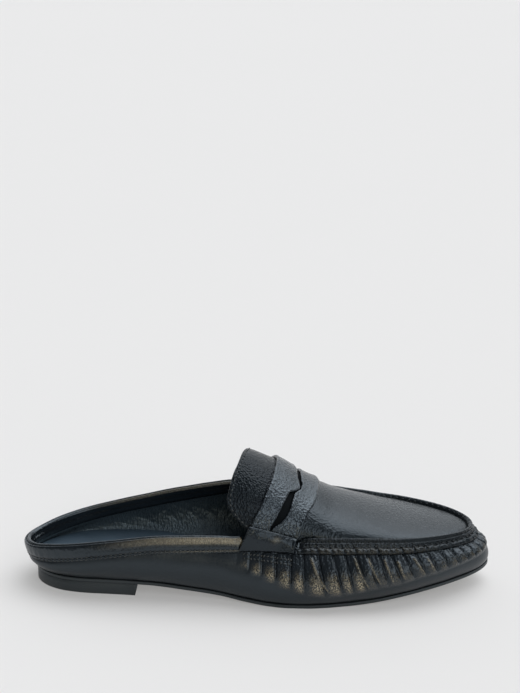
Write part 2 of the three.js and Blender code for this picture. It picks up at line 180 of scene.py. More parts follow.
throatRows = table("across back", [
    [0.00, 0.00],
    [0.035, 0.05],
    [0.056, 0.12],
    [0.103, 0.295],
    [0.135, 0.40],
    [0.17, 0.475],
    [0.20, 0.488],
    [0.266, 0.445],
    [0.33, 0.40],
    [0.42, 0.317],
    [0.54, 0.25],
    [0.65, 0.20],
    [0.76, 0.22],
    [0.84, 0.26],
    [0.90, 0.25],
    [0.95, 0.13],
    [1.00, 0.00],
])


def soleBottomAt(x):
    share = x / soleLength
    return soleRows["heel"](share) * last["heelHeight"] + soleRows["toe"](share) * last["toeSpring"]


def soleTopAt(x):
    return soleBottomAt(x) + last["outsoleThickness"]


def easeIn(distance, length):
    return np.sqrt(np.maximum(0, 1 - np.clip(1 - distance / length, 0, 1) ** 2))


def smoothStep(low, high, value):
    t = np.clip((value - low) / (high - low), 0, 1)
    return t * t * (3 - 2 * t)


# Rounded edge: distances from it that follow its rounding in even angles, and its fall at a distance
def edgeSteps(radius, count):
    return radius * (1 - np.cos(np.linspace(0, np.pi / 2, count)))


def edgeFall(distance, radius):
    return radius - np.sqrt(np.maximum(0, radius ** 2 - np.maximum(0, radius - distance) ** 2))


# Length along a row of points, counted from the first one
def pathLength(points):
    return np.concatenate([[0], np.cumsum(np.linalg.norm(np.diff(points, axis=0), axis=1))])


# Closed ring round the shoe: x = back + (1 - cos turn) / 2 of its length, lateral side first, elliptic ends
def ringPoint(ring, turn, inset=0.0):
    turn = np.asarray(turn, float)
    x = ring["back"] + inset + (1 - np.cos(turn)) / 2 * (ring["front"] - ring["back"] - 2 * inset)
    side = np.where(np.sin(turn) >= 0, -1, 1)
    behind = easeIn(x - ring["back"] - inset, ring["backRound"])
    rounded = behind * easeIn(ring["front"] - inset - x, ring["frontRound"])
    lateral, medial = ring["lateral"](x), ring["medial"](x)
    half = (medial + lateral) / 2 - inset
    share = (1 + side * rounded) / 2
    z = ring["lateralHeight"](x) * (1 - share) + ring["medialHeight"](x) * share
    return np.stack([x, (medial - lateral) / 2 + side * half * rounded, z], -1)


def halfTurn(ring, x):
    return np.arccos(1 - 2 * np.clip((x - ring["back"]) / (ring["front"] - ring["back"]), 0, 1))


bandRise = last["curvedClearance"] + last["bandThickness"] + last["wallThickness"] / 2
rimDrop = lambda x: bandRise * np.clip((last["apronBack"] - x) / (0.08 * soleLength) + 0.5, 0, 1)
rimHeight = lambda side: lambda x: soleTopAt(x) + rimRows[side](x / soleLength) * last["sideHeight"]
seamOut = lambda x: seamRows["out"](x / soleLength) * last["ridgeWidth"]
seamDown = lambda x: seamRows["down"](x / soleLength) * last["bandWidth"]
soleRing = dict(
    back=0,
    front=soleLength,
    backRound=0.132 * soleLength,
    frontRound=0.31 * soleLength,
    lateral=lambda x: soleRows["lateral"](x / soleLength) * ballWidth,
    medial=lambda x: soleRows["medial"](x / soleLength) * ballWidth,
    lateralHeight=soleTopAt,
    medialHeight=soleTopAt,
)
rimRing = dict(
    back=-last["rimOverhang"],
    front=soleLength - last["apronSetback"],
    backRound=0.155 * soleLength,
    frontRound=0.178 * soleLength,
    lateral=lambda x: rimRows["lateral"](x / soleLength) * ballWidth,
    medial=lambda x: rimRows["medial"](x / soleLength) * ballWidth,
    lateralHeight=lambda x: rimHeight("lateralHeight")(x) - rimDrop(x),
    medialHeight=lambda x: rimHeight("medialHeight")(x) - rimDrop(x),
)
seamRing = dict(
    back=0.16 * last["bandWidth"] - last["rimOverhang"],
    front=soleLength - last["apronSetback"] + 0.65 * last["ridgeWidth"],
    backRound=0.14 * soleLength,
    frontRound=0.2 * soleLength,
    lateral=lambda x: rimRing["lateral"](x) + seamOut(x),
    medial=lambda x: rimRing["medial"](x) + seamOut(x),
    lateralHeight=lambda x: rimHeight("lateralHeight")(x) - seamDown(x),
    medialHeight=lambda x: rimHeight("medialHeight")(x) - seamDown(x),
)


# Outer skin of the upper: level -1 feather edge, 0 seam line, 1 rim, 2 crown, then down the other side.
# Wall = feather to seam + outward * 4 (level + 1)(-level) * swell; arch = rim to far rim, raised by
# rise * sin
def skin(turn, level):
    turn, level = np.broadcast_arrays(np.asarray(turn, float), np.asarray(level, float))
    beyond = level > 2
    turn = np.where(beyond, 2 * np.pi - turn, turn)
    level = np.where(beyond, 4 - level, level)
    seam = ringPoint(seamRing, turn)
    feather = ringPoint(soleRing, turn, last["featherInset"])
    feather[..., 2] += last["clearance"]
    ahead, behind = ringPoint(seamRing, turn + 0.01), ringPoint(seamRing, turn - 0.01)
    outward = np.stack([ahead[..., 1] - behind[..., 1], behind[..., 0] - ahead[..., 0], 0 * turn], -1)
    outward /= np.linalg.norm(outward, axis=-1, keepdims=True)
    low = np.clip(level, -1, 0)[..., None]
    swell = (bulgeRows["swell"](seam[..., 0] / soleLength) * last["vampBulge"])[..., None]
    wall = feather + (seam - feather) * (low + 1) + outward * (-4 * (low + 1) * low) * swell
    rim = ringPoint(rimRing, turn)
    shelf = seam + (rim - seam) * np.clip(level, 0, 1)[..., None]
    arch = (np.clip(level, 1, 2) - 1) * np.pi / 2
    farRim = ringPoint(rimRing, 2 * np.pi - turn)
    top = rim + (farRim - rim) * ((1 - np.cos(arch)) / 2)[..., None]
    ahead = rimRing["front"] - rim[..., 0]
    rise = crownRows["rise"](rim[..., 0] / soleLength) * last["instepRise"] * easeIn(ahead, 0.04 * soleLength)
    top[..., 2] += rise * np.sin(arch)
    level = level[..., None]
    return np.where(level <= 0, wall, np.where(level <= 1, shelf, top))


# Outward normal = forward step x upward step; behind the throat it doesn't look past the rim
def skinNormal(turn, level, turnStep=0.012, levelStep=0.08):
    turn, level = np.broadcast_arrays(np.asarray(turn, float), np.asarray(level, float))
    x = ringPoint(rimRing, turn)[..., 0]
    past = np.clip((x - last["apronBack"]) / (0.06 * soleLength), 0, 1)
    reach = level + levelStep
    above = np.where((level <= 1) & (reach > 1), 1 + (reach - 1) * past, reach)
    below = np.maximum(level - levelStep, -1)
    forward = skin(turn + turnStep, level) - skin(turn - turnStep, level)
    upward = skin(turn, above) - skin(turn, below)
    normal = np.cross(forward, upward)
    return normal / np.linalg.norm(normal, axis=-1, keepdims=True)


def lifted(turn, level, lift):
    return skin(turn, level) + skinNormal(turn, level) * np.asarray(lift)[..., None]


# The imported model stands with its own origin, so the last moves by the outsole's corner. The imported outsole
# has 45 stations a side, and its widest one gives the corner
plateStations = np.linspace(0, np.pi, 45)
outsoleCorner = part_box("outsole")[0]
lastShift = np.array([
    outsoleCorner.x * 1000,
    outsoleCorner.y * 1000 - ringPoint(soleRing, plateStations)[:, 1].min(),
    0,
])


# Distance along the seam line from the tip of the toe: lateral side positive, medial side negative
fineTurns = np.linspace(0, 2 * np.pi, 6001)
fineLength = pathLength(ringPoint(seamRing, fineTurns))
fineFromToe = np.interp(np.pi, fineTurns, fineLength) - fineLength


def fromToe(turn):
    return np.interp(turn, fineTurns, fineFromToe)


# Turns spaced evenly along the seam line, and closer where the density is higher
def spacedTurns(first, final, count, density=None):
    turns = np.linspace(first, final, 4001)
    steps = np.abs(np.diff(np.interp(turns, fineTurns, fineLength)))
    if density is not None:
        steps = steps * density(ringPoint(seamRing, (turns[:-1] + turns[1:]) / 2)[:, 0])
    length = np.concatenate([[0], np.cumsum(steps)])
    return np.interp(np.linspace(0, length[-1], count), length, turns)


# Mesh making
def gridFaces(columns, rows, closedColumns=False, closedRows=False):
    i = np.arange(columns if closedColumns else columns - 1)[:, None]
    j = np.arange(rows if closedRows else rows - 1)[None, :]
    iNext, jNext = (i + 1) % columns, (j + 1) % rows
    quads = np.stack([i * rows + j, iNext * rows + j, iNext * rows + jNext, i * rows + jNext], -1)
    return quads.reshape(-1, 4)


def makePiece(name, points, faces, finish, nodes, values=None):
    mesh = bpy.data.meshes.new(name)
    mesh.from_pydata(((points + lastShift) / 1000).tolist(), [], [list(f) for f in faces])
    for key, data in (values or {}).items():
        layer = mesh.attributes.new(key, "FLOAT", "POINT")
        layer.data.foreach_set("value", np.asarray(data, np.float32).ravel())
    work = bmesh.new()
    work.from_mesh(mesh)
    bmesh.ops.remove_doubles(work, verts=work.verts, dist=2e-6)
    bmesh.ops.dissolve_degenerate(work, edges=work.edges, dist=1e-6)
    bmesh.ops.recalc_face_normals(work, faces=work.faces)
    work.to_mesh(mesh)
    work.free()
    mesh.shade_smooth()
    mesh.materials.append(finish)
    piece = bpy.data.objects.new(name, mesh)
    bpy.context.scene.collection.objects.link(piece)
    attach(piece, "root")
    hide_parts(*nodes)


# A closed section carried along a path: sections has the shape columns x points x 3. An open end is closed by
# a fan to its middle or, where the section is a thin wall, by a ribbon between its two halves
def sweep(name, sections, finish, nodes, closedPath=False, values=None, thin=False):
    columns, count = sections.shape[:2]
    points = sections.reshape(-1, 3)
    faces = gridFaces(columns, count, closedPath, True).tolist()
    values = {key: np.broadcast_to(data, (columns, count)).ravel() for key, data in (values or {}).items()}
    if thin and not closedPath:
        i = np.arange(count // 2 - 1)[:, None]
        ribbon = np.concatenate([i, i + 1, count - 2 - i, count - 1 - i], axis=1)
        faces += ribbon.tolist() + (ribbon + (columns - 1) * count).tolist()
    elif not closedPath:
        ends = sections[[0, -1]].mean(axis=1)
        for k, first in ((0, 0), (1, (columns - 1) * count)):
            ring = [first + i for i in range(count)]
            faces += [[len(points) + k, a, b] for a, b in zip(ring, ring[1:] + ring[:1])]
        points = np.concatenate([points, ends])
        values = {key: np.concatenate([data, data[[0, -1]]]) for key, data in values.items()}
    makePiece(name, points, faces, finish, nodes, values)


# Two matching skins closed into one wall: outer columns, then the inner ones backwards
def wallBetween(name, outer, inner, finish, nodes, closedPath=False, values=None):
    sections = np.concatenate([outer, inner[:, ::-1]], axis=1)
    doubled = {key: np.concatenate([data, data[:, ::-1]], axis=1) for key, data in (values or {}).items()}
    sweep(name, sections, finish, nodes, closedPath, doubled, thin=True)


# Stitches: short fat threads, each an ellipse-ended tube from one point to the next, joined in one mesh
def makeStitches(name, starts, ends, normals, spec, finish, nodes):
    axis = ends - starts
    length = np.linalg.norm(axis, axis=1, keepdims=True)
    axis = axis / length
    side = np.cross(axis, normals)
    side /= np.linalg.norm(side, axis=1, keepdims=True)
    up = np.cross(side, axis)
    ringsAlong = np.array([0.0, 0.12, 0.35, 0.65, 0.88, 1.0])
    fatness = np.array([0.0, 0.62, 1.0, 1.0, 0.62, 0.0])
    angles = np.arange(6) / 6 * 2 * np.pi
    arc = np.sin(ringsAlong * np.pi) * spec["arch"]
    centre = starts[:, None] + axis[:, None] * (ringsAlong[:, None] * length[:, None])
    centre = centre + up[:, None] * arc[None, :, None]
    around = side[:, None, None] * np.cos(angles)[:, None] + up[:, None, None] * np.sin(angles)[:, None]
    radius = spec["thread"] / 2 * fatness[None, :, None, None]
    points = centre[:, :, None] + around * radius
    count = len(starts)
    base = gridFaces(len(ringsAlong), len(angles), False, True)
    perThread = len(ringsAlong) * len(angles)
    faces = (base[None] + (np.arange(count) * perThread)[:, None, None]).reshape(-1, 4)
    makePiece(name, points.reshape(-1, 3), faces.tolist(), finish, nodes)


# Finishes
def newFinish(name):
    finish = bpy.data.materials.new(name)
    finish.use_nodes = True
    nodes, links = finish.node_tree.nodes, finish.node_tree.links
    nodes.clear()
    output = nodes.new("ShaderNodeOutputMaterial")
    shader = nodes.new("ShaderNodeBsdfPrincipled")
    links.new(shader.outputs[0], output.inputs[0])
    place = nodes.new("ShaderNodeTexCoord")
    return finish, nodes, links, shader, place.outputs["Object"]


def addNoise(nodes, links, place, scale, detail=3.0, rough=0.55):
    noise = nodes.new("ShaderNodeTexNoise")
    noise.inputs["Scale"].default_value = scale
    noise.inputs["Detail"].default_value = detail
    noise.inputs["Roughness"].default_value = rough
    links.new(place, noise.inputs["Vector"])
    return noise.outputs["Fac"]


def addRange(nodes, links, value, fromLow, fromHigh, toLow, toHigh):
    ramp = nodes.new("ShaderNodeMapRange")
    ramp.interpolation_type = "SMOOTHSTEP"
    sockets = ("From Min", "From Max", "To Min", "To Max")
    for socket, number in zip(sockets, (fromLow, fromHigh, toLow, toHigh)):
        ramp.inputs[socket].default_value = number
    links.new(value, ramp.inputs["Value"])
    return ramp.outputs["Result"]


def addMath(nodes, links, operation, a, b):
    step = nodes.new("ShaderNodeMath")
    step.operation = operation
    for socket, value in zip(step.inputs, (a, b)):
        if isinstance(value, (int, float)):
            socket.default_value = value
        else:
            links.new(value, socket)
    return step.outputs[0]


def addMix(nodes, links, share, a, b):
    mix = nodes.new("ShaderNodeMix")
    mix.data_type = "RGBA"
    if isinstance(share, (int, float)):
        mix.inputs[0].default_value = share
    else:
        links.new(share, mix.inputs[0])
    for socket, value in zip((mix.inputs[6], mix.inputs[7]), (a, b)):
        if isinstance(value, tuple):
            socket.default_value = (*value, 1)
        else:
            links.new(value, socket)
    return mix.outputs[2]


# Grained leather: slanting pebbles of cellular noise under fine pores, cloudy dye, and a painted warm
# highlight,
# speckled, where the highlight attribute is high. Where the attribute smooth is high it is drawn flat over the
# last:
# less grain and less glossy, and paler, a painted reflection of the pale floor
def makeLeather(name, look):
    finish, nodes, links, shader, place = newFinish(name)
    slanted = nodes.new("ShaderNodeMapping")
    slanted.inputs["Rotation"].default_value = (0.5, 0.7, 0.2)
    slanted.inputs["Scale"].default_value = (1.0, 1.0, look["stretch"])
    links.new(place, slanted.inputs["Vector"])
    pebbles = nodes.new("ShaderNodeTexVoronoi")
    pebbles.feature = "SMOOTH_F1"
    pebbles.inputs["Scale"].default_value = 1000 / look["pebble"]
    pebbles.inputs["Smoothness"].default_value = 0.5
    links.new(slanted.outputs[0], pebbles.inputs["Vector"])
    pores = addNoise(nodes, links, slanted.outputs[0], 1000 / look["pore"], 4.0, 0.6)
    cloud = addNoise(nodes, links, place, 1000 / look["cloud"], 2.0)
    dye = addMix(nodes, links, addRange(nodes, links, cloud, 0.35, 0.65, 0, 1), look["dark"], look["light"])
    # Painted highlight: where this attribute is high, a warm highlight colour is mixed into the dye and broken
    # into speckles by the sparkle noise; satin sets how much of it shows between the speckles
    paintedHighlight = nodes.new("ShaderNodeAttribute")
    paintedHighlight.attribute_name = "paintedHighlight"
    sparkle = addNoise(nodes, links, slanted.outputs[0], 1000 / look["sparkle"], 2.0, 0.6)
    speckle = addRange(nodes, links, sparkle, 0.44, 0.60, look["satin"], 1)
    paintedWarmHighlight = addMath(nodes, links, "MULTIPLY", paintedHighlight.outputs["Fac"], speckle)
    smooth = nodes.new("ShaderNodeAttribute")
    smooth.attribute_name = "smooth"
    # Paler colour where smooth is high: a painted reflection of the pale floor
    dye = addMix(nodes, links, smooth.outputs["Fac"], dye, look["paleFloorReflection"])
    colour = addMix(nodes, links, paintedWarmHighlight, dye, look["paintedWarmHighlight"])
    links.new(colour, shader.inputs["Base Color"])
    rough = addRange(nodes, links, pores, 0.3, 0.7, look["rough"] - 0.05, look["rough"] + 0.07)
    satin = addMath(nodes, links, "MULTIPLY", smooth.outputs["Fac"], 0.16)
    rough = addMath(nodes, links, "ADD", rough, satin)
    links.new(rough, shader.inputs["Roughness"])
    shader.inputs["Specular IOR Level"].default_value = look["specular"]
    shader.inputs["Specular Tint"].default_value = (*look["tint"], 1)
    height = addMath(nodes, links, "MULTIPLY", pebbles.outputs["Distance"], look["pebbleDeep"])
    height = addMath(nodes, links, "ADD", height, addMath(nodes, links, "MULTIPLY", pores, look["poreDeep"]))
    left = addRange(nodes, links, smooth.outputs["Fac"], 0, 1, 1, 0.2)
    height = addMath(nodes, links, "MULTIPLY", height, left)
    bump = nodes.new("ShaderNodeBump")
    bump.inputs["Strength"].default_value = look["bump"]
    bump.inputs["Distance"].default_value = 0.001
    links.new(height, bump.inputs["Height"])
    links.new(bump.outputs[0], shader.inputs["Normal"])
    return finish


vampLook = dict(
    pebble=1.0, pore=0.40, cloud=26.0, stretch=0.6, sparkle=0.50, satin=0.06,
    dark=(0.004, 0.0055, 0.007), light=(0.008, 0.010, 0.0125), paleFloorReflection=(0.011, 0.0135, 0.016),
    paintedWarmHighlight=(0.46, 0.385, 0.25), rough=0.17, specular=0.53, tint=(0.76, 0.90, 1.0),
    pebbleDeep=0.26, poreDeep=0.05, bump=0.9,
)
apronLook = dict(
    vampLook, rough=0.16, specular=0.43, light=(0.007, 0.009, 0.011), pebble=1.0, pebbleDeep=0.24,
    dark=(0.0035, 0.005, 0.0065),
)
tongueLook = dict(apronLook, specular=0.19, rough=0.17, pebble=1.1, pebbleDeep=0.5)
ridgeLook = dict(vampLook, specular=0.30, dark=(0.003, 0.004, 0.005), light=(0.006, 0.0075, 0.009))
strapLook = dict(
    vampLook, rough=0.17, specular=0.80, pebble=1.05, pebbleDeep=0.42,
    dark=(0.005, 0.007, 0.009), light=(0.010, 0.013, 0.016),
)
tabLook = dict(vampLook, specular=0.42, satin=0.45, paintedWarmHighlight=(0.24, 0.205, 0.14), pebbleDeep=0.20)
bandLook = dict(vampLook, rough=0.20, specular=0.6, satin=0.45, paintedWarmHighlight=(0.30, 0.255, 0.175), pebbleDeep=0.14)
liningLook = dict(
    pebble=1.1, pore=0.45, cloud=30.0, stretch=0.35, sparkle=0.4, satin=0.3,
    dark=(0.022, 0.031, 0.037), light=(0.034, 0.047, 0.056), paleFloorReflection=(0.02, 0.03, 0.04),
    paintedWarmHighlight=(0.05, 0.065, 0.075), rough=0.30, specular=0.8, tint=(0.72, 0.90, 1.0),
    pebbleDeep=0.4, poreDeep=0.2, bump=0.8,
)
sockLook = dict(
    liningLook, dark=(0.030, 0.048, 0.066), light=(0.040, 0.062, 0.084), rough=0.42,
    pebble=1.6, stretch=0.8, pebbleDeep=0.08, poreDeep=0.08,
)
soleLook = dict(
    pebble=2.4, pore=0.5, cloud=40.0, stretch=1.0, sparkle=0.5, satin=0.3,
    dark=(0.017, 0.020, 0.022), light=(0.024, 0.028, 0.030), paleFloorReflection=(0.02, 0.02, 0.02),
    paintedWarmHighlight=(0.05, 0.05, 0.045), rough=0.45, specular=0.55, tint=(0.85, 0.95, 1.0),
    pebbleDeep=0.05, poreDeep=0.08, bump=0.35,
)
threadLook = dict(
    pebble=0.5, pore=0.2, cloud=10.0, stretch=1.0, sparkle=0.3, satin=0.3,
    dark=(0.012, 0.014, 0.016), light=(0.024, 0.026, 0.028), paleFloorReflection=(0.02, 0.02, 0.02),
    paintedWarmHighlight=(0.1, 0.1, 0.09), rough=0.4, specular=0.5, tint=(0.85, 0.95, 1.0),
    pebbleDeep=0.05, poreDeep=0.05, bump=0.3,
)
greyThreadLook = dict(threadLook, dark=(0.034, 0.035, 0.034), light=(0.062, 0.063, 0.060), rough=0.35)
# Near-black matte for the sheet under the slot: painted shade
slotPaintedShadeLook = dict(
    threadLook, dark=(0.0015, 0.002, 0.0025), light=(0.002, 0.003, 0.004), rough=0.8, specular=0.12,
)
vampLeather = makeLeather("vampLeather", vampLook)
apronLeather = makeLeather("apronLeather", apronLook)
tongueLeather = makeLeather("tongueLeather", tongueLook)
ridgeLeather = makeLeather("ridgeLeather", ridgeLook)
strapLeather = makeLeather("strapLeather", strapLook)
bandLeather = makeLeather("bandLeather", bandLook)
tabLeather = makeLeather("tabLeather", tabLook)
liningLeather = makeLeather("liningLeather", liningLook)
sockLeather = makeLeather("sockLeather", sockLook)
soleRubber = makeLeather("soleRubber", soleLook)
seamThread = makeLeather("seamThread", threadLook)
greyThread = makeLeather("greyThread", greyThreadLook)
slotPaintedShade = makeLeather("slotPaintedShade", slotPaintedShadeLook)
print("finishes ready")

# Creases of the gathered vamp, lateral side. at: distance from the toe tip along the seam in millimetres,
# lean: how far its foot lies further back, reach: share of the wall it runs down, swell: puff in front of it
lateralCreases = [
    dict(at=150.0, lean=6.0, reach=0.22, swell=0.0),
    dict(at=143.0, lean=6.0, reach=0.36, swell=0.5),
    dict(at=136.3, lean=5.0, reach=0.46, swell=0.8),
    dict(at=128.5, lean=5.0, reach=0.56, swell=1.1),
    dict(at=120.2, lean=4.5, reach=0.66, swell=1.0),
    dict(at=113.5, lean=2.0, reach=0.72, swell=1.3),
    dict(at=105.2, lean=-1.0, reach=0.78, swell=2.1),
    dict(at=96.8, lean=-2.0, reach=0.74, swell=1.5),
    dict(at=90.2, lean=-1.0, reach=0.72, swell=0.9),
    dict(at=84.1, lean=-2.5, reach=0.70, swell=1.7),
    dict(at=77.9, lean=-3.0, reach=0.66, swell=1.1),
    dict(at=71.3, lean=-2.0, reach=0.64, swell=0.8),
    dict(at=64.5, lean=-2.5, reach=0.64, swell=1.6),
    dict(at=57.7, lean=-3.0, reach=0.58, swell=1.2),
    dict(at=50.7, lean=-2.5, reach=0.54, swell=0.7),
    dict(at=43.4, lean=-1.0, reach=0.55, swell=1.5),
    dict(at=35.8, lean=1.0, reach=0.50, swell=1.1),
    dict(at=28.4, lean=1.5, reach=0.48, swell=1.0),
    dict(at=21.8, lean=1.5, reach=0.46, swell=0.9),
    dict(at=16.0, lean=1.0, reach=0.44, swell=0.8),
    dict(at=9.8, lean=0.6, reach=0.42, swell=0.8),
    dict(at=4.0, lean=0.3, reach=0.42, swell=0.8),
    dict(at=-2.5, lean=0.0, reach=0.42, swell=0.8),
]
# The medial side is gathered the same way, with its creases 7 mm apart and a little uneven; its distances
# are counted back from the tip too
medialCreases = [
    dict(
        at=2.5 + 7.0 * k + 1.1 * math.sin(2.3 * k),
        lean=2.6 * math.sin(0.9 * k + 0.5) - 0.12 * k,
        reach=0.44 + 0.26 * math.sin(math.pi * min(1, k / 20)) - 0.03 * math.sin(3.1 * k),
        swell=(0.8 + 0.5 * math.sin(math.pi * min(1, k / 20))) * (1 + 0.15 * math.sin(1.7 * k)),
    )
    for k in range(21)
]
# Sharp folds: start and end are shares of the way down the wall, the other lengths are in millimetres
sharpFolds = [
    dict(at=109.5, lean=-12.0, start=0.02, end=0.72, height=1.3, width=0.6, bow=1.5),
    dict(at=97.5, lean=-1.0, start=0.30, end=0.70, height=0.7, width=0.5, bow=0.6),
    dict(at=85.5, lean=-8.0, start=0.02, end=0.66, height=1.3, width=0.6, bow=1.0),
    dict(at=78.0, lean=-7.0, start=0.02, end=0.60, height=1.2, width=0.5, bow=0.6),
    dict(at=69.3, lean=-4.0, start=0.05, end=0.60, height=0.9, width=0.5, bow=0.4),
    dict(at=62.5, lean=-3.0, start=0.10, end=0.55, height=0.8, width=0.5, bow=0.4),
    dict(at=53.5, lean=-7.0, start=0.06, end=0.52, height=0.9, width=0.5, bow=0.4),
    dict(at=46.0, lean=-3.0, start=0.10, end=0.48, height=0.7, width=0.45, bow=0.2),
    dict(at=-66.0, lean=7.0, start=0.02, end=0.62, height=1.1, width=0.6, bow=-1.0),
    dict(at=-78.5, lean=5.0, start=0.02, end=0.60, height=0.9, width=0.5, bow=-0.6),
    dict(at=-95.0, lean=9.0, start=0.02, end=0.66, height=1.1, width=0.6, bow=-1.0),
]
pleatShape = dict(
    round=0.8, skew=0.62, pinch=0.30, full=0.70, ends=1.05, trough=0.95, troughWidth=0.6, bulge=0.9,
    wrinkle=0.10, crease=0.13, fade=(125, 146), wrinkleFade=(118, 140),
)


# Height of the gathers: a low bulge all along, and on it puffs of swell * (4t(1-t))^round between two
# creases, steeper on the side of the toe, pinched at the seam and fullest at pleatShape full of their reach.
# Creases and folds are Gaussian troughs and ridges, and fine wrinkles are products of sines
def pleatHeight(distance, drop):
    puffs = np.zeros_like(distance)
    troughs = np.zeros_like(distance)
    paintedHighlight = np.zeros_like(distance)
    bulge = np.zeros_like(distance)
    for sign, creases in ((1, lateralCreases), (-1, medialCreases)):
        along = distance * sign
        ordered = sorted(creases, key=lambda crease: crease["at"])
        places = [crease["at"] for crease in ordered]
        reach = np.interp(along, places, [crease["reach"] for crease in ordered])
        q = drop / reach
        swollen = smoothStep(0, 0.55, q) * (1 - smoothStep(0.82, 1.12, q))
        present = smoothStep(-3.2, -2.2, along) * (1 - smoothStep(*pleatShape["fade"], along))
        bulge = np.maximum(bulge, pleatShape["bulge"] * swollen * present)
        for near, far in zip(ordered[:-1], ordered[1:]):
            low = near["at"] + near["lean"] * drop
            high = far["at"] + far["lean"] * drop
            t = np.clip((along - low) / (high - low), 0, 1) ** pleatShape["skew"]
            swell = (near["swell"] + far["swell"]) / 2
            q = drop / ((near["reach"] + far["reach"]) / 2)
            body = pleatShape["pinch"] + (1 - pleatShape["pinch"]) * smoothStep(0, pleatShape["full"], q)
            body = body * (1 - smoothStep(pleatShape["full"], pleatShape["ends"], q))
            puffs = np.maximum(puffs, swell * (4 * t * (1 - t)) ** pleatShape["round"] * body)
            # Painted highlight: a warm sheen on the crest of each puff, weaker within 84 mm of the tip
            warm = 1 if near["at"] > 84 else 0.22
            crest = (4 * t * (1 - t)) ** 3 * body * smoothStep(0.3, 0.8, q)
            paintedHighlight = np.maximum(paintedHighlight, crest * min(1, swell) * warm)
        for crease in ordered:
            centre = crease["at"] + crease["lean"] * drop
            window = 1 - smoothStep(0.6, 1.05, drop / crease["reach"])
            trough = np.exp(-((along - centre) / pleatShape["troughWidth"]) ** 2) * window
            troughs = troughs + trough * min(1, crease["swell"] + 0.1)
    height = bulge + puffs - pleatShape["trough"] * troughs
    for fold in sharpFolds:
        share = np.clip((drop - fold["start"]) / (fold["end"] - fold["start"]), 0, 1)
        centre = fold["at"] + fold["lean"] * drop + fold["bow"] * np.sin(share * np.pi)
        window = smoothStep(0, 0.15, share) * (1 - smoothStep(0.75, 1, share))
        ridge = np.exp(-((distance - centre) / fold["width"]) ** 2) * window
        height = height + fold["height"] * ridge
        # Painted highlight along the ridge of each sharp fold
        paintedHighlight = np.maximum(paintedHighlight, 0.7 * ridge)
    gathered = bulge / pleatShape["bulge"]
    wave = np.sin(distance * 1.9 + 2.3 * np.sin(drop * 9)) * np.sin(drop * 23 + distance * 0.7)
    fine = np.sin(distance * 2.7 + 1.3 * np.sin(distance * 0.9)) * (1 - smoothStep(0.05, 0.3, drop))
    present = 1 - smoothStep(*pleatShape["wrinkleFade"], np.abs(distance))
    height = height + pleatShape["wrinkle"] * wave * gathered + pleatShape["crease"] * fine * present
    return height, paintedHighlight


# Upper: outer leather from the feather edge to the rim, all round, with the gathers
vampWall = dict(columns=680, leather=1.0, tuck=0.9, tuckShare=0.07, unevenness=0.12, gatherFade=(118, 150))


def makeVampWall():
    density = lambda x: 0.22 + 0.78 * smoothStep(108, 124, x)
    turns = spacedTurns(0, 2 * np.pi, vampWall["columns"] + 1, density)[:-1, None]
    levels = np.concatenate([
        np.linspace(-1, -1 + vampWall["tuckShare"], 7)[:-1],
        np.linspace(-1 + vampWall["tuckShare"], 0, 56),
        np.linspace(0, 1, 10)[1:],
    ])[None]
    drop = np.clip(-levels, 0, 1) + 0 * turns
    distance = fromToe(turns) + 0 * levels
    height, paintedHighlight = pleatHeight(distance, drop)
    wave = np.sin(distance / 11 + 3 * drop) * np.sin(distance / 4.7 - 5 * drop)
    height = height * (levels <= 0) * (1 - smoothStep(0.9, 1, drop))
    height = height + vampWall["unevenness"] * wave * (levels < 0)
    outer = lifted(turns, levels, height)
    inward = -skinNormal(turns, 0 * levels - 0.9)
    inward[..., 2] = 0
    q = np.clip((drop - 1 + vampWall["tuckShare"]) / vampWall["tuckShare"], 0, 1)
    outer = outer + inward * (vampWall["tuck"] * (1 - np.sqrt(1 - q * q)))[..., None]
    inner = lifted(turns, levels, -vampWall["leather"] + 0 * height)
    inner[..., 2] = np.where(levels < -0.97, outer[..., 2], inner[..., 2])
    distances = [crease["at"] for crease in lateralCreases[::-1]]
    reach = np.interp(np.abs(distance), distances, [crease["reach"] for crease in lateralCreases[::-1]])
    gathered = 1 - smoothStep(*vampWall["gatherFade"], np.abs(distance))
    # smooth: the lower wall below the gathers and all the wall behind them, with less grain and more roughness,
    # and a paler colour painted in as its reflection of the pale floor
    smooth = 1 - gathered * (1 - smoothStep(0.85, 1.15, drop / reach))
    # The highlight values are the warm highlights painted on the puffs and sharp folds
    values = {"paintedHighlight": paintedHighlight, "smooth": smooth}
    wallBetween("vampWall", outer, inner, vampLeather, ["upper"], True, values)


# Lining inside the wall, creased on both sides where it folds at the waist
wallLining = dict(
    columns=760, rows=56, near=1.05, far=1.8, wrinkle=0.5, wrinkleIn=(18, 70), wrinkleOut=(108, 118),
    wrinkleUp=(12, 17),
)


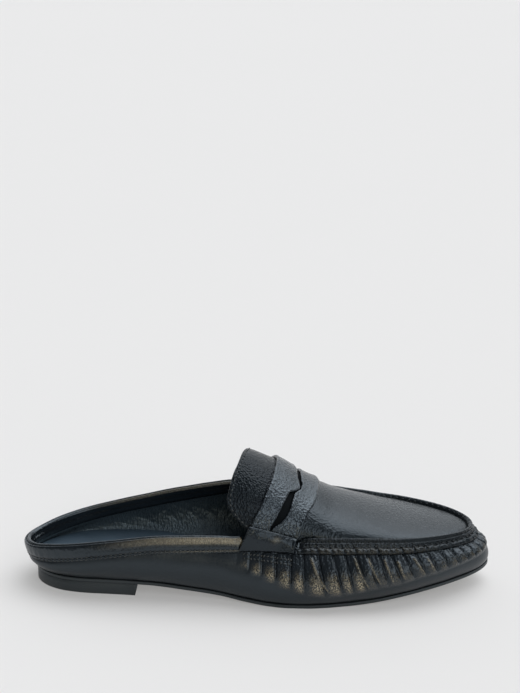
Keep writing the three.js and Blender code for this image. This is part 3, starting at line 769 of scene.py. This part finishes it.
# Wrinkles: three crossing families of sharp valleys, 1 - |sin|^0.5, of falling size, inside a soft window
def makeWallLining():
    density = lambda x: 1 - 0.85 * smoothStep(122, 140, x)
    turns = spacedTurns(0, 2 * np.pi, wallLining["columns"] + 1, density)[:-1, None]
    levels = np.linspace(-0.985, 0.96, wallLining["rows"])[None]
    point = skin(turns, levels)
    x, z = point[..., 0], point[..., 2]
    window = smoothStep(*wallLining["wrinkleIn"], x) * (1 - smoothStep(*wallLining["wrinkleOut"], x))
    window = window * smoothStep(*wallLining["wrinkleUp"], z)
    bend = 2.4 * np.sin(x / 15) + 1.9 * np.sin(z / 3.7 + x / 21)
    families = (
        (0.5, (x * 0.42 + z * 0.95 + bend) / 2.0),
        (0.3, (x * 0.80 - z * 0.55 + 1.7 * np.sin(x / 7 + z / 5)) / 1.7),
        (0.2, (x * 0.25 + z * 1.10 + 1.3 * np.sin(x / 4.1)) / 0.95),
    )
    wrinkle = sum(share * (1 - np.abs(np.sin(angle)) ** 0.5) for share, angle in families)
    wrinkle = (wrinkle - 0.25) * wallLining["wrinkle"] * window
    outer = lifted(turns, levels, -wallLining["near"] + 0 * x)
    inner = lifted(turns, levels, -wallLining["far"] + wrinkle)
    wallBetween("wallLining", outer, inner, liningLeather, ["upper"], True)


# Tongue and apron, from the throat edge to the toe, rounded at the throat; they meet under the strap
apronSheet = dict(
    acrossCount=97, alongCount=120, meetAt=20, leather=1.0, edgeRadius=0.5, lining=0.8, liningSetback=0.5,
)


def apronGrid(setback, edgeRadius):
    across = np.linspace(0, 1, apronSheet["acrossCount"])[None]
    edge = last["apronBack"] - throatRows["back"](across) * last["instepRise"] + setback
    near = np.concatenate([edgeSteps(edgeRadius, 5), [0.9, 1.4, 2.0, 2.8]])[:, None]
    turnNear = halfTurn(rimRing, edge + near)
    share = np.linspace(0, 1, apronSheet["alongCount"])[1:, None]
    turnFar = turnNear[-1:] + (np.pi - 0.01 - turnNear[-1:]) * share
    turns = np.concatenate([turnNear, turnFar])
    sink = np.concatenate([edgeFall(near, edgeRadius), 0 * share])
    return turns, 1 + 2 * across + 0 * turns, sink


def makeApron():
    turns, levels, sink = apronGrid(0, apronSheet["edgeRadius"])
    outer = lifted(turns, levels, -sink + 0 * turns)
    inner = lifted(turns, levels, -apronSheet["leather"] + sink + 0 * turns)
    meet = apronSheet["meetAt"]
    parts = (
        ("tongueLeather", slice(0, meet + 1), tongueLeather),
        ("apronLeather", slice(meet, None), apronLeather),
    )
    for name, part, finish in parts:
        wallBetween(name, outer[part], inner[part], finish, ["upper"])
    turns, levels, sink = apronGrid(apronSheet["liningSetback"], 0.3)
    outer = lifted(turns, levels, -apronSheet["leather"] - 0.05 - sink + 0 * turns)
    inner = lifted(turns, levels, -apronSheet["leather"] - apronSheet["lining"] + sink + 0 * turns)
    wallBetween("apronLining", outer, inner, liningLeather, ["upper"])


# Stitches along the throat edge, set back from it
throatStitches = dict(setback=1.7, pitch=2.9, length=1.8, thread=0.6, arch=0.15)


def stitchRow(name, points, normals, spec, nodes, finish=None, slant=0.0, across=None):
    length = pathLength(points)
    middles = np.arange(spec["pitch"] / 2, length[-1], spec["pitch"])
    pick = lambda where, data: np.stack([np.interp(where, length, data[:, k]) for k in range(3)], -1)
    starts = pick(middles - spec["length"] / 2, points)
    ends = pick(middles + spec["length"] / 2, points)
    if across is not None:
        starts = starts + pick(middles, across) * slant
        ends = ends - pick(middles, across) * slant
    makeStitches(name, starts, ends, pick(middles, normals), spec, finish or seamThread, nodes)


def makeThroatStitches():
    across = np.linspace(0.03, 0.97, 400)
    edge = last["apronBack"] - throatRows["back"](across) * last["instepRise"] + throatStitches["setback"]
    turns = halfTurn(rimRing, edge)
    level = 1 + 2 * across
    stitchRow(
        "throatStitches", lifted(turns, level, 0.05 + 0 * turns), skinNormal(turns, level),
        throatStitches, ["upper"], greyThread,
    )


# Moccasin seam: a low gathered lobe, a stitched groove, a middle lobe and a thin top lip, as
# height over the skin in millimetres against the share of the way from the seam line to the rim
ridgeSection = [
    [0.00, 0.05], [-0.01, 1.0], [0.02, 1.7], [0.09, 2.15], [0.20, 2.3], [0.31, 2.1], [0.39, 1.65],
    [0.44, 1.25], [0.48, 1.45], [0.54, 2.1], [0.62, 2.45], [0.69, 2.4], [0.735, 2.0], [0.77, 2.2],
    [0.82, 3.0], [0.87, 3.4], [0.93, 3.45], [0.99, 3.1], [1.03, 2.4], [1.035, 1.4], [1.03, 0.3],
]
ridgeSize = dict(columns=760, footBack=149.2, headBack=152.05, gather=0.6, seat=0.12, paintedWarmHighlight=0.12)


def ridgeGathers(distance):
    ripple = np.zeros_like(distance)
    for sign, creases in ((1, lateralCreases), (-1, medialCreases)):
        for crease in creases:
            ripple = ripple + np.exp(-((distance * sign - crease["at"]) / 0.8) ** 2)
    fine = 0.3 * np.sin(distance / 0.62 + 2 * np.sin(distance / 7.3))
    return np.clip(ripple, 0, 1) + fine


def ridgeStart(base):
    foot = halfTurn(seamRing, ridgeSize["footBack"])
    head = halfTurn(rimRing, ridgeSize["headBack"])
    return foot + (head - foot) * base


def ridgeSurface(share, base, height):
    first = ridgeStart(base)
    turn = first + (2 * np.pi - 2 * first) * share
    foot, top = skin(turn, 0 * turn), skin(turn, 1 + 0 * turn)
    outward = skinNormal(turn, 0.5 + 0 * turn)
    return foot + (top - foot) * base[..., None] + outward * height[..., None], outward, turn


def makeSeamRidge():
    section = np.array(ridgeSection)
    share = np.linspace(0, 1, ridgeSize["columns"])[:, None]
    base = section[None, :, 0] + 0 * share
    height = section[None, :, 1] + 0 * share
    distance = fromToe(ridgeStart(base) + (2 * np.pi - 2 * ridgeStart(base)) * share)
    gathers = ridgeGathers(distance)
    strength = np.interp(base, [0, 0.1, 0.35, 0.5, 0.7, 0.85, 1.0], [0.9, 1.0, 0.7, 0.25, 0.2, 0.08, 0.05])
    closing = np.minimum(1, np.minimum(share, 1 - share) * 60) ** 0.5
    height = height - ridgeSize["gather"] * gathers * strength * np.minimum(1, height)
    height = height * (0.55 + 0.45 * closing)
    outer = ridgeSurface(share, base, height)[0]
    seat = np.linspace(1.0, 0.02, 6)[None] + 0 * share
    inner = ridgeSurface(share, seat, ridgeSize["seat"] + 0 * seat)[0]
    sections = np.concatenate([outer, inner], axis=1)
    # Painted warm highlight on the ridge between its gathers, on the lateral side 30 to 120 mm back from the
    # tip
    paintedWarmHighlight = smoothStep(30, 60, distance) * (1 - smoothStep(95, 120, distance))
    paintedHighlight = np.clip(1 - gathers, 0, 1) * strength * paintedWarmHighlight * ridgeSize["paintedWarmHighlight"]
    paintedHighlight = np.concatenate([paintedHighlight, np.zeros_like(seat)], axis=1)
    sweep("seamRidge", sections, ridgeLeather, ["seam_ridge"], values={"paintedHighlight": paintedHighlight})


# Hand stitches in the groove between the lobes, and the row on the inner face of the top lip
grooveStitches = dict(base=0.45, height=1.62, pitch=3.6, length=1.9, thread=0.55, arch=0.25)
innerStitches = dict(base=1.035, height=1.75, pitch=3.6, length=1.6, thread=0.5, arch=0.2)


def makeRidgeStitches():
    share = np.linspace(0.004, 0.996, 1400)
    for name, spec in (("grooveStitches", grooveStitches), ("innerStitches", innerStitches)):
        base = spec["base"] + 0 * share
        points, outward, turn = ridgeSurface(share, base, spec["height"] + 0 * share)
        normals = outward
        if name == "innerStitches":
            inward = skinNormal(turn, 1.2 + 0 * turn)
            normals = inward - outward
        stitchRow(name, points, normals, spec, ["seam_ridge"])


# Saddle strap: two strips across the arch with the lens slot between them
strapRows = table("across middle width slotMiddle slot", [
    [0.02, 0.530, 1.08, -0.20, 0.00],
    [0.05, 0.532, 1.10, -0.22, 0.00],
    [0.075, 0.534, 1.11, -0.20, 0.25],
    [0.115, 0.538, 1.09, -0.06, 0.66],
    [0.17, 0.545, 1.02, 0.02, 0.86],
    [0.215, 0.550, 0.98, 0.05, 0.87],
    [0.27, 0.557, 0.97, 0.02, 0.68],
    [0.33, 0.565, 0.98, -0.03, 0.52],
    [0.375, 0.569, 0.98, 0.09, 0.08],
    [0.42, 0.572, 0.98, 0.21, 0.08],
    [0.46, 0.573, 0.97, 0.19, 0.32],
    [0.50, 0.575, 0.96, 0.09, 0.42],
    [0.60, 0.576, 0.96, 0.02, 0.46],
    [0.73, 0.568, 0.97, 0.02, 0.68],
    [0.80, 0.559, 0.98, 0.04, 0.87],
    [0.86, 0.550, 1.02, 0.02, 0.84],
    [0.90, 0.544, 1.06, -0.08, 0.55],
    [0.95, 0.536, 1.10, -0.20, 0.00],
    [0.98, 0.531, 1.08, -0.20, 0.00],
])
strap = dict(
    width=25, slot=4.8, thickness=1.4, seat=0.12, edgeRadius=0.55, bead=0.22, beadAt=1.0, columns=190,
    shadeSheet=0.08, shadeSheetMargin=1.6,
)


def makeStrap():
    share = np.linspace(0.028, 0.972, strap["columns"])[:, None]
    middle = strapRows["middle"](share) * soleLength
    half = strapRows["width"](share) * strap["width"] / 2
    slotMiddle = middle + strapRows["slotMiddle"](share) * half
    slotHalf = strapRows["slot"](share) * strap["slot"] / 2
    strips = (
        ("strapRear", middle - half, slotMiddle - slotHalf),
        ("strapFront", slotMiddle + slotHalf, middle + half),
    )
    steps = np.concatenate([edgeSteps(strap["edgeRadius"], 6), [0.9, 1.3, 1.9, 2.8]])
    top = last["curvedClearance"] + strap["thickness"]
    for name, low, high in strips:
        width = high - low
        edge = steps * np.minimum(1, 0.14 * width)
        middles = low + width * np.array([0.42, 0.5, 0.58])
        x = np.concatenate([low + edge, middles, high - edge[:, ::-1]], axis=1)
        distance = np.minimum(x - low, high - x)
        bead = strap["bead"] * np.exp(-((distance - strap["beadAt"]) / 0.5) ** 2)
        lift = top - edgeFall(distance, strap["edgeRadius"]) + bead + 0 * x
        turns = halfTurn(rimRing, x)
        levels = 1 + 2 * share + 0 * x
        outer = lifted(turns, levels, lift)
        under = lifted(turns, levels, strap["seat"] + 0 * x)
        wallBetween(name, outer, under, strapLeather, ["strap"])
    # Painted shade: a near-black matte sheet under the slot stands in for the shadow inside it
    reach = slotHalf + strap["shadeSheetMargin"]
    turns = halfTurn(rimRing, slotMiddle + reach * np.linspace(-1, 1, 9))
    levels = 1 + 2 * share + 0 * turns
    outer = lifted(turns, levels, strap["shadeSheet"] + strap["seat"] + 0 * turns)
    under = lifted(turns, levels, 0.04 + 0 * turns)
    wallBetween("slotShadeSheet", outer, under, slotPaintedShade, ["strap"])


# Tabs over the ends of the strap
tab = dict(
    back=117, length=31, height=14.0, lean=5.9, frontLean=1.4, thickness=1.3, roll=1.6, rearLevel=0.16,
    frontLevel=0.075, edgeRadius=0.5,
)


def tabGrid(medialSide, along, up, lift):
    foot = tab["back"] + along * tab["length"]
    head = foot + tab["lean"] + (tab["frontLean"] - tab["lean"]) * along
    footTurn, headTurn = halfTurn(seamRing, foot), halfTurn(rimRing, head)
    if medialSide:
        footTurn, headTurn = 2 * np.pi - footTurn, 2 * np.pi - headTurn
    level = 1 + tab["rearLevel"] + (tab["frontLevel"] - tab["rearLevel"]) * along
    overStrap = 2 * last["curvedClearance"] + strap["thickness"]
    bottom = lifted(footTurn, 0 * footTurn, last["clearance"] + lift)
    top = lifted(headTurn, level, overStrap + lift)
    outward = skinNormal(footTurn, 0.5 + 0 * footTurn)
    roll = tab["roll"] * 4 * up * (1 - up) * (0.5 + 0.5 * lift / tab["thickness"])
    return bottom + (top - bottom) * up[..., None] + outward * roll[..., None], outward


def makeTab(name, node, medialSide):
    sizes = (tab["length"], tab["height"])
    steps = np.concatenate([edgeSteps(tab["edgeRadius"], 5), [0.9, 1.4, 2.0]])
    stations = []
    for size in sizes:
        edge = steps / size
        middle = np.linspace(2.0 / size, 1 - 2.0 / size, 26)[1:-1]
        stations.append(np.concatenate([edge, middle, 1 - edge[::-1]]))
    along, up = np.meshgrid(stations[0], stations[1], indexing="ij")
    away = np.minimum(np.minimum(along, 1 - along) * sizes[0], np.minimum(up, 1 - up) * sizes[1])
    drop = edgeFall(away, tab["edgeRadius"])
    bead = 0.18 * np.exp(-((away - 0.9) / 0.45) ** 2)
    dimple = 0.25 * np.exp(-((along - 0.62) / 0.13) ** 2 - ((up - 0.58) / 0.2) ** 2)
    wave = 0.12 * np.sin(along * 23 + 2 * up) * np.sin(up * 5)
    outer = tabGrid(medialSide, along, up, tab["thickness"] - drop + bead + dimple + wave)[0]
    inner = tabGrid(medialSide, along, up, 0 * up)[0]
    # Painted highlight: a warm soft spot on the middle of the tab
    glow = 0.55 * np.exp(-((along - 0.60) / 0.07) ** 2 - ((up - 0.62) / 0.16) ** 2)
    wallBetween(name, outer, inner, tabLeather, [node], values={"paintedHighlight": glow})


# Cross stitches under each tab, two rows that fall away towards the front
tabStitches = dict(
    rows=((0.025, 0.095), (0.09, 0.175)), pitch=2.1, length=1.3, thread=0.9, arch=0.35, slant=0.6,
)


def makeTabStitches():
    along = np.linspace(0.06, 0.95, 200)
    for side, medialSide in (("Lateral", False), ("Medial", True)):
        for k, (rear, front) in enumerate(tabStitches["rows"]):
            turns = halfTurn(seamRing, tab["back"] + along * tab["length"])
            turns = 2 * np.pi - turns if medialSide else turns
            level = -(rear + (front - rear) * along)
            height = pleatHeight(fromToe(turns), -level)[0]
            points = lifted(turns, level, height + 0.15)
            normals = skinNormal(turns, level)
            across = np.gradient(points, axis=0)
            across = np.cross(normals, across / np.linalg.norm(across, axis=1, keepdims=True))
            stitchRow(
                f"tabStitches{side}{k}", points, normals, tabStitches, ["upper"],
                greyThread, tabStitches["slant"] * (1 if k else -1), across,
            )


# Collar binding in section, out from the wall's face and up from its rim, in millimetres.
# The first rows are the outer leg, whose height follows the band: share of it, then out
bandLeg = [
    [1.00, 0.15], [0.995, 0.9], [0.975, 1.3], [0.955, 1.46], [0.93, 1.36], [0.91, 1.34], [0.885, 1.46],
    [0.85, 1.68], [0.80, 1.66], [0.765, 1.45], [0.74, 1.36], [0.715, 1.45], [0.66, 1.7], [0.5, 1.78],
    [0.33, 1.8], [0.2, 1.8], [0.08, 1.78],
]
bandHead = [
    [1.7, 0.3], [1.58, 0.95], [1.3, 1.55], [0.95, 1.9], [0.6, 1.9], [0.35, 1.6], [0.2, 1.15], [0.05, 0.95],
    [-0.12, 1.05], [-0.35, 1.55], [-0.7, 2.15], [-1.15, 2.5], [-1.6, 2.5], [-2.1, 2.25], [-2.5, 1.75],
    [-2.75, 1.1], [-2.75, 0.3], [-2.6, -0.5], [-2.75, -1.3], [-3.05, -2.3], [-3.3, -3.5], [-3.35, -4.8],
    [-3.15, -6.1], [-2.8, -7.2], [-2.4, -8.1], [-2.05, -8.5], [-1.9, -8.0], [-1.85, -4.0], [-1.85, 0.1],
    [-0.9, 0.3], [0.1, 0.1],
]
collarBand = dict(back=117, lean=0.45, gap=0.45, columns=420, ripple=0.10)
# Painted warm highlights on the binding: on its lip and the top of its leg, on a line under the stitches, and
# on the far lip, weaker on the medial side. Places along the shoe are in millimetres, and places down the leg
# are shares of it
bandPaintedHighlight = dict(
    along=(30, 104), legFade=(0.18, 0.38), line=0.55, lineAlong=(62, 96), lineFrom=(0.78, 0.83),
    lineTo=(0.86, 0.90), medial=0.45, far=0.35, farAlong=(15, 60),
)


def bandEnd(share):
    foot = halfTurn(seamRing, collarBand["back"] - collarBand["gap"])
    rim = halfTurn(rimRing, collarBand["back"] + collarBand["lean"] * tab["lean"] - collarBand["gap"])
    return foot + (rim - foot) * share


# The binding's axes at each turn: foot of the leg, the rim, the way up the wall and the way out
def bandAxes(turn):
    inRange = turn % (2 * np.pi)
    foot, rim = skin(inRange, 0 * turn), skin(inRange, 1 + 0 * turn)
    upward = rim - foot
    height = np.linalg.norm(upward, axis=-1, keepdims=True)
    return foot, rim, upward / height, height, skinNormal(inRange, 0.4 + 0 * turn)


def bandPoints(path, share, out):
    lastTurn = bandEnd(1 - share)
    turn = -lastTurn + 2 * lastTurn * path
    foot, _, upward, height, outward = bandAxes(turn)
    return foot + upward * height * (1 - share[..., None]) + outward * out[..., None], outward, turn


def makeCollarBand():
    path = np.linspace(0, 1, collarBand["columns"])[:, None]
    leg = np.array(bandLeg)
    share, out = leg[None, :, 0] + 0 * path, leg[None, :, 1] + 0 * path
    legPoints, _, turn = bandPoints(path, share, out)
    ripple = collarBand["ripple"] * np.sin(turn * 61) * np.sin(turn * 23 + 1) * (out > 0.5)
    legPoints = bandPoints(path, share, out + ripple)[0]
    head = np.array(bandHead)
    lastTurn = bandEnd(1.0)
    turn = (-lastTurn + 2 * lastTurn * path) + 0 * head[None, :, 0]
    _, rim, upward, height, outward = bandAxes(turn)
    low = np.minimum(1, (height[..., 0] - 1.0) / 8.6)
    rise = np.where(head[None, :, 1] < 0, head[None, :, 1] * low, head[None, :, 1])
    headPoints = rim + outward * head[None, :, 0, None] + upward * rise[..., None]
    sections = np.concatenate([legPoints, headPoints], axis=1)
    x = sections[..., 0]
    lateral = (sections[..., 1] < 0) + 0.0
    shares = np.concatenate([share, 0 * rise - 1], axis=1)
    out, up = head[None, :, 0], head[None, :, 1]
    # Painted highlight masks: the lip, the top of the leg, a line under the stitches and the far lip
    lip = np.concatenate([0 * share, np.interp(out, [0.6, 1.5], [0, 1]) + 0 * rise], axis=1)
    top = np.maximum(lip, (shares > 0) * (1 - smoothStep(*bandPaintedHighlight["legFade"], shares)))
    glow = smoothStep(*bandPaintedHighlight["along"], x) * top
    line = smoothStep(*bandPaintedHighlight["lineFrom"], shares) * (1 - smoothStep(*bandPaintedHighlight["lineTo"], shares))
    glow = glow + bandPaintedHighlight["line"] * smoothStep(*bandPaintedHighlight["lineAlong"], x) * line
    far = np.interp(out, [-2.75, -2.4, -1.0, -0.7], [0, 1, 1, 0]) * (up > 1.2) + 0 * rise
    far = np.concatenate([0 * share, far], axis=1) * (1 - lateral) * smoothStep(*bandPaintedHighlight["farAlong"], x)
    paintedHighlight = glow * (bandPaintedHighlight["medial"] + (1 - bandPaintedHighlight["medial"]) * lateral) + bandPaintedHighlight["far"] * far
    sweep("collarBand", sections, bandLeather, ["collar_band"], values={"paintedHighlight": paintedHighlight})


# Two rows of stitches along the lower edge of the binding; the upper one stops short of the heel
bandStitches = dict(pitch=2.8, length=1.7, thread=0.6, arch=0.15)
bandStitchRows = [dict(share=0.74, out=1.42, first=0.0), dict(share=0.92, out=1.42, first=0.1)]


def makeBandStitches():
    for k, row in enumerate(bandStitchRows):
        for side, span in (("Lateral", (0.5 + row["first"], 0.997)), ("Medial", (0.003, 0.5 - row["first"]))):
            path = np.linspace(*span, 900)
            points, outward, _ = bandPoints(path, row["share"] + 0 * path, row["out"] + 0 * path)
            stitchRow(
                f"bandStitches{side}{k}", points, outward, bandStitches, ["collar_band"],
                greyThread,
            )


# Turns all round the sole, each one of the medial side at the same length as one of the lateral side
def pairedTurns(count):
    half = spacedTurns(0, np.pi, count // 2 + 1)
    return np.concatenate([half, 2 * np.pi - half[-2:0:-1]])


# A ring filled in to its middle line in steps: each point moves to halfway between it and its partner
def fillRing(ring, steps):
    middle = (ring + np.roll(ring[::-1], 1, axis=0)) / 2
    return [ring + (middle - ring) * share for share in np.linspace(0, 1, steps + 1)[1:]]


# Rings round the shoe, joined into one closed piece
def makeRings(name, rings, finish, nodes):
    grid = np.stack(rings, axis=1)
    faces = gridFaces(*grid.shape[:2], True).tolist()
    makePiece(name, grid.reshape(-1, 3), faces, finish, nodes)


insole = dict(
    thickness=5.4, ballThickness=3.0, thinning=(90, 150), ease=0.7, dish=0.9, dishWide=16, radius=0.8,
    seam=0.3, columns=480, fill=12,
)
outsole = dict(radius=0.5, columns=360, fill=8)
heel = dict(blockLength=60, breastSlant=1.7, breastHollow=3, inset=0.3, bevel=0.5)


# Padded sock: rings from its seat up along the lining's face, over a rounded edge, and in to the middle line;
# it thins from the heel to the ball, and sinks by the sine of the way in
def makeSock():
    turns = pairedTurns(insole["columns"])
    seatInset = last["featherInset"] + last["wallThickness"] + insole["ease"]
    seat = ringPoint(soleRing, turns, seatInset)
    seat[:, 2] += last["clearance"] + 0.1
    x = ringPoint(seamRing, turns)[:, 0]
    thinned = smoothStep(*insole["thinning"], x)
    thickness = insole["thickness"] + (insole["ballThickness"] - insole["thickness"]) * thinned
    low, high = skin(turns, -1 + 0 * turns), skin(turns, 0 * turns)
    rows = [seat]
    inset = wallLining["far"] + insole["seam"]
    for angle in np.linspace(0, np.pi / 2, 6):
        rise = thickness - insole["radius"] * (1 - np.sin(angle))
        level = -1 + rise / (high - low)[:, 2]
        edge = lifted(turns, level, -inset - insole["radius"] * (1 - np.cos(angle)) + 0 * turns)
        edge[:, 2] = soleTopAt(edge[:, 0]) + last["clearance"] + rise
        rows.append(edge)
    fills = fillRing(rows[-1], insole["fill"])
    wide = np.linalg.norm(fills[-1] - rows[-1], axis=1)
    for k, ring in enumerate(fills):
        depth = insole["dish"] * math.sin((k + 1) / insole["fill"] * math.pi / 2)
        ring[:, 2] -= depth * smoothStep(0, insole["dishWide"], wide)
    rows = fillRing(seat, insole["fill"])[::-1] + rows + fills
    makeRings("insoleSock", rows, sockLeather, ["insole"])


# Outsole: rings of its outline from the bottom face to the top face, with a rounded rim
def makeOutsole():
    turns = pairedTurns(outsole["columns"])
    radius = outsole["radius"]
    rings = []
    quarter = np.linspace(0, np.pi / 2, 6)
    for faceAt, way, angles in ((soleBottomAt, 1, quarter), (soleTopAt, -1, quarter[::-1])):
        for angle in angles:
            ring = ringPoint(soleRing, turns, radius * (1 - np.sin(angle)))
            ring[:, 2] = faceAt(ring[:, 0]) + way * radius * (1 - np.cos(angle))
            rings.append(ring)
    rings = fillRing(rings[0], outsole["fill"])[::-1] + rings + fillRing(rings[-1], outsole["fill"])
    makeRings("outsolePlate", rings, soleRubber, ["outsole"])


# Heel block: the sole outline back to the breast, which is hollowed across and slants forward going up
def makeHeelBlock():
    shares = np.linspace(0, 1, 60)[:, None]
    across = np.linspace(0, 1, 25)[None]
    top = last["heelHeight"] - 0.02
    bevel = heel["bevel"]
    layers = [(0.0, bevel), (0.15, bevel * 0.45), (bevel, 0.0), (top - 0.3, 0.0), (top, 0.25)]
    rows = []
    for z, pull in layers:
        inset = heel["inset"] + pull
        length = heel["blockLength"] - heel["breastSlant"] * (1 - z / top) - pull
        x = inset + (length - inset) * (1 - np.cos(shares * np.pi / 2))
        turn = np.arccos(1 - 2 * np.clip((x - inset) / (soleLength - 2 * inset), 0, 1))
        near = ringPoint(soleRing, turn, inset)
        far = ringPoint(soleRing, 2 * np.pi - turn, inset)
        y = near[..., 1] + (far[..., 1] - near[..., 1]) * across
        hollow = heel["breastHollow"] * 4 * across * (1 - across) * shares ** 4
        rows.append(np.stack([x - hollow, y, z + 0 * y], -1))
    lateral = np.stack([row[:, 0] for row in rows], 1)
    breast = np.stack([row[-1] for row in rows], 1)[1:-1]
    medial = np.stack([row[::-1, -1] for row in rows], 1)
    around = np.concatenate([lateral, breast, medial[:-1]])
    faces = gridFaces(len(around), len(layers), True).tolist()
    points = around.reshape(-1, 3)
    for row in (rows[0], rows[-1]):
        faces += (gridFaces(*row.shape[:2]) + len(points)).tolist()
        points = np.concatenate([points, row.reshape(-1, 3)])
    makePiece("heelBlock", points, faces, soleRubber, ["heel"])


makeVampWall()
makeWallLining()
makeApron()
makeThroatStitches()
print("upper ready")
makeSeamRidge()
makeRidgeStitches()
makeStrap()
makeTab("tabLateral", "tab_lateral", False)
makeTab("tabMedial", "tab_medial", True)
makeTabStitches()
print("seam, strap and tabs ready")
makeCollarBand()
makeBandStitches()
makeSock()
makeOutsole()
makeHeelBlock()
print("collar and soles ready")

# Camera at the photograph's angle: azimuth and elevation in degrees, distances in millimetres
camera = dict(
    azimuth=2.0, elevation=19.56, distance=1200, target=(127.767, 0, 139.678), lens=112.62, sensor=36,
)


def makeCamera():
    azimuth, elevation = math.radians(camera["azimuth"]), math.radians(camera["elevation"])
    back = np.array([
        math.sin(azimuth) * math.cos(elevation),
        -math.cos(azimuth) * math.cos(elevation),
        math.sin(elevation),
    ])
    data = bpy.data.cameras.new("camera")
    data.lens = camera["lens"]
    data.sensor_width = camera["sensor"]
    eye = bpy.data.objects.new("camera", data)
    eye.location = (np.array(camera["target"]) + lastShift + back * camera["distance"]) / 1000
    eye.rotation_euler = (math.pi / 2 - elevation, 0, azimuth)
    bpy.context.scene.collection.objects.link(eye)
    bpy.context.scene.camera = eye


# Studio: pale paper, partly lit from below, under a dim room, with broad soft lights far away in it so that
# the paper is lit evenly.
# turn: degrees from the toe's direction towards the inner side, height: degrees above the floor,
# core and edge: half angles in degrees where a light is full and where it has faded
studio = dict(
    paperSize=14.0, paper=(0.55, 0.54, 0.53), glow=(0.260, 0.257, 0.253), room=(0.15, 0.16, 0.17),
)
softLights = [
    dict(turn=100, height=22, core=20, edge=56, colour=(0.84, 0.87, 0.90)),  # pale wall behind the shoe
    dict(turn=48, height=66, core=12, edge=34, colour=(2.90, 2.95, 3.05)),  # overhead softbox
    dict(turn=20, height=32, core=8, edge=24, colour=(1.9, 1.95, 2.0)),  # strip light beyond the toe
    dict(turn=-58, height=32, core=10, edge=28, colour=(1.75, 1.80, 1.86)),  # low softbox in front of the toe
    dict(turn=-91, height=17, core=4, edge=10, colour=(3.0, 2.6, 2.0)),  # warm lamp beside the camera
]


def makeStudio():
    size = studio["paperSize"] / 2
    mesh = bpy.data.meshes.new("floor")
    corners = [(-size, -size, 0), (size, -size, 0), (size, size, 0), (-size, size, 0)]
    mesh.from_pydata(corners, [], [(0, 1, 2, 3)])
    floor = bpy.data.objects.new("floor", mesh)
    bpy.context.scene.collection.objects.link(floor)
    finish, nodes, links, shader, place = newFinish("paper")
    tone = addNoise(nodes, links, place, 3.0)
    low = tuple(c * 0.99 for c in studio["paper"])
    links.new(addMix(nodes, links, tone, low, studio["paper"]), shader.inputs["Base Color"])
    shader.inputs["Roughness"].default_value = 0.9
    shader.inputs["Specular IOR Level"].default_value = 0.1
    shader.inputs["Emission Color"].default_value = (*studio["glow"], 1)
    shader.inputs["Emission Strength"].default_value = 1.0
    mesh.materials.append(finish)
    makeRoom()


# Room: its dim colour plus each soft light, a smooth step of the cosine of the angle from the light's middle
def makeRoom():
    world = bpy.data.worlds.new("room")
    world.use_nodes = True
    nodes, links = world.node_tree.nodes, world.node_tree.links
    direction = nodes.new("ShaderNodeTexCoord").outputs["Generated"]
    total = nodes.new("ShaderNodeCombineXYZ").outputs[0]
    for socket, value in zip(total.node.inputs, studio["room"]):
        socket.default_value = value
    for light in softLights:
        turn, height = math.radians(light["turn"]), math.radians(light["height"])
        toward = (math.cos(turn) * math.cos(height), math.sin(turn) * math.cos(height), math.sin(height))
        facing = nodes.new("ShaderNodeVectorMath")
        facing.operation = "DOT_PRODUCT"
        links.new(direction, facing.inputs[0])
        facing.inputs[1].default_value = toward
        edge, core = math.cos(math.radians(light["edge"])), math.cos(math.radians(light["core"]))
        share = addRange(nodes, links, facing.outputs["Value"], edge, core, 0, 1)
        glow = nodes.new("ShaderNodeVectorMath")
        glow.operation = "SCALE"
        glow.inputs[0].default_value = light["colour"]
        links.new(share, glow.inputs["Scale"])
        added = nodes.new("ShaderNodeVectorMath")
        added.operation = "ADD"
        links.new(total, added.inputs[0])
        links.new(glow.outputs[0], added.inputs[1])
        total = added.outputs[0]
    links.new(total, nodes["Background"].inputs["Color"])
    bpy.context.scene.world = world
    bpy.context.scene.view_settings.view_transform = "Standard"


makeCamera()
makeStudio()
print("camera and studio ready")
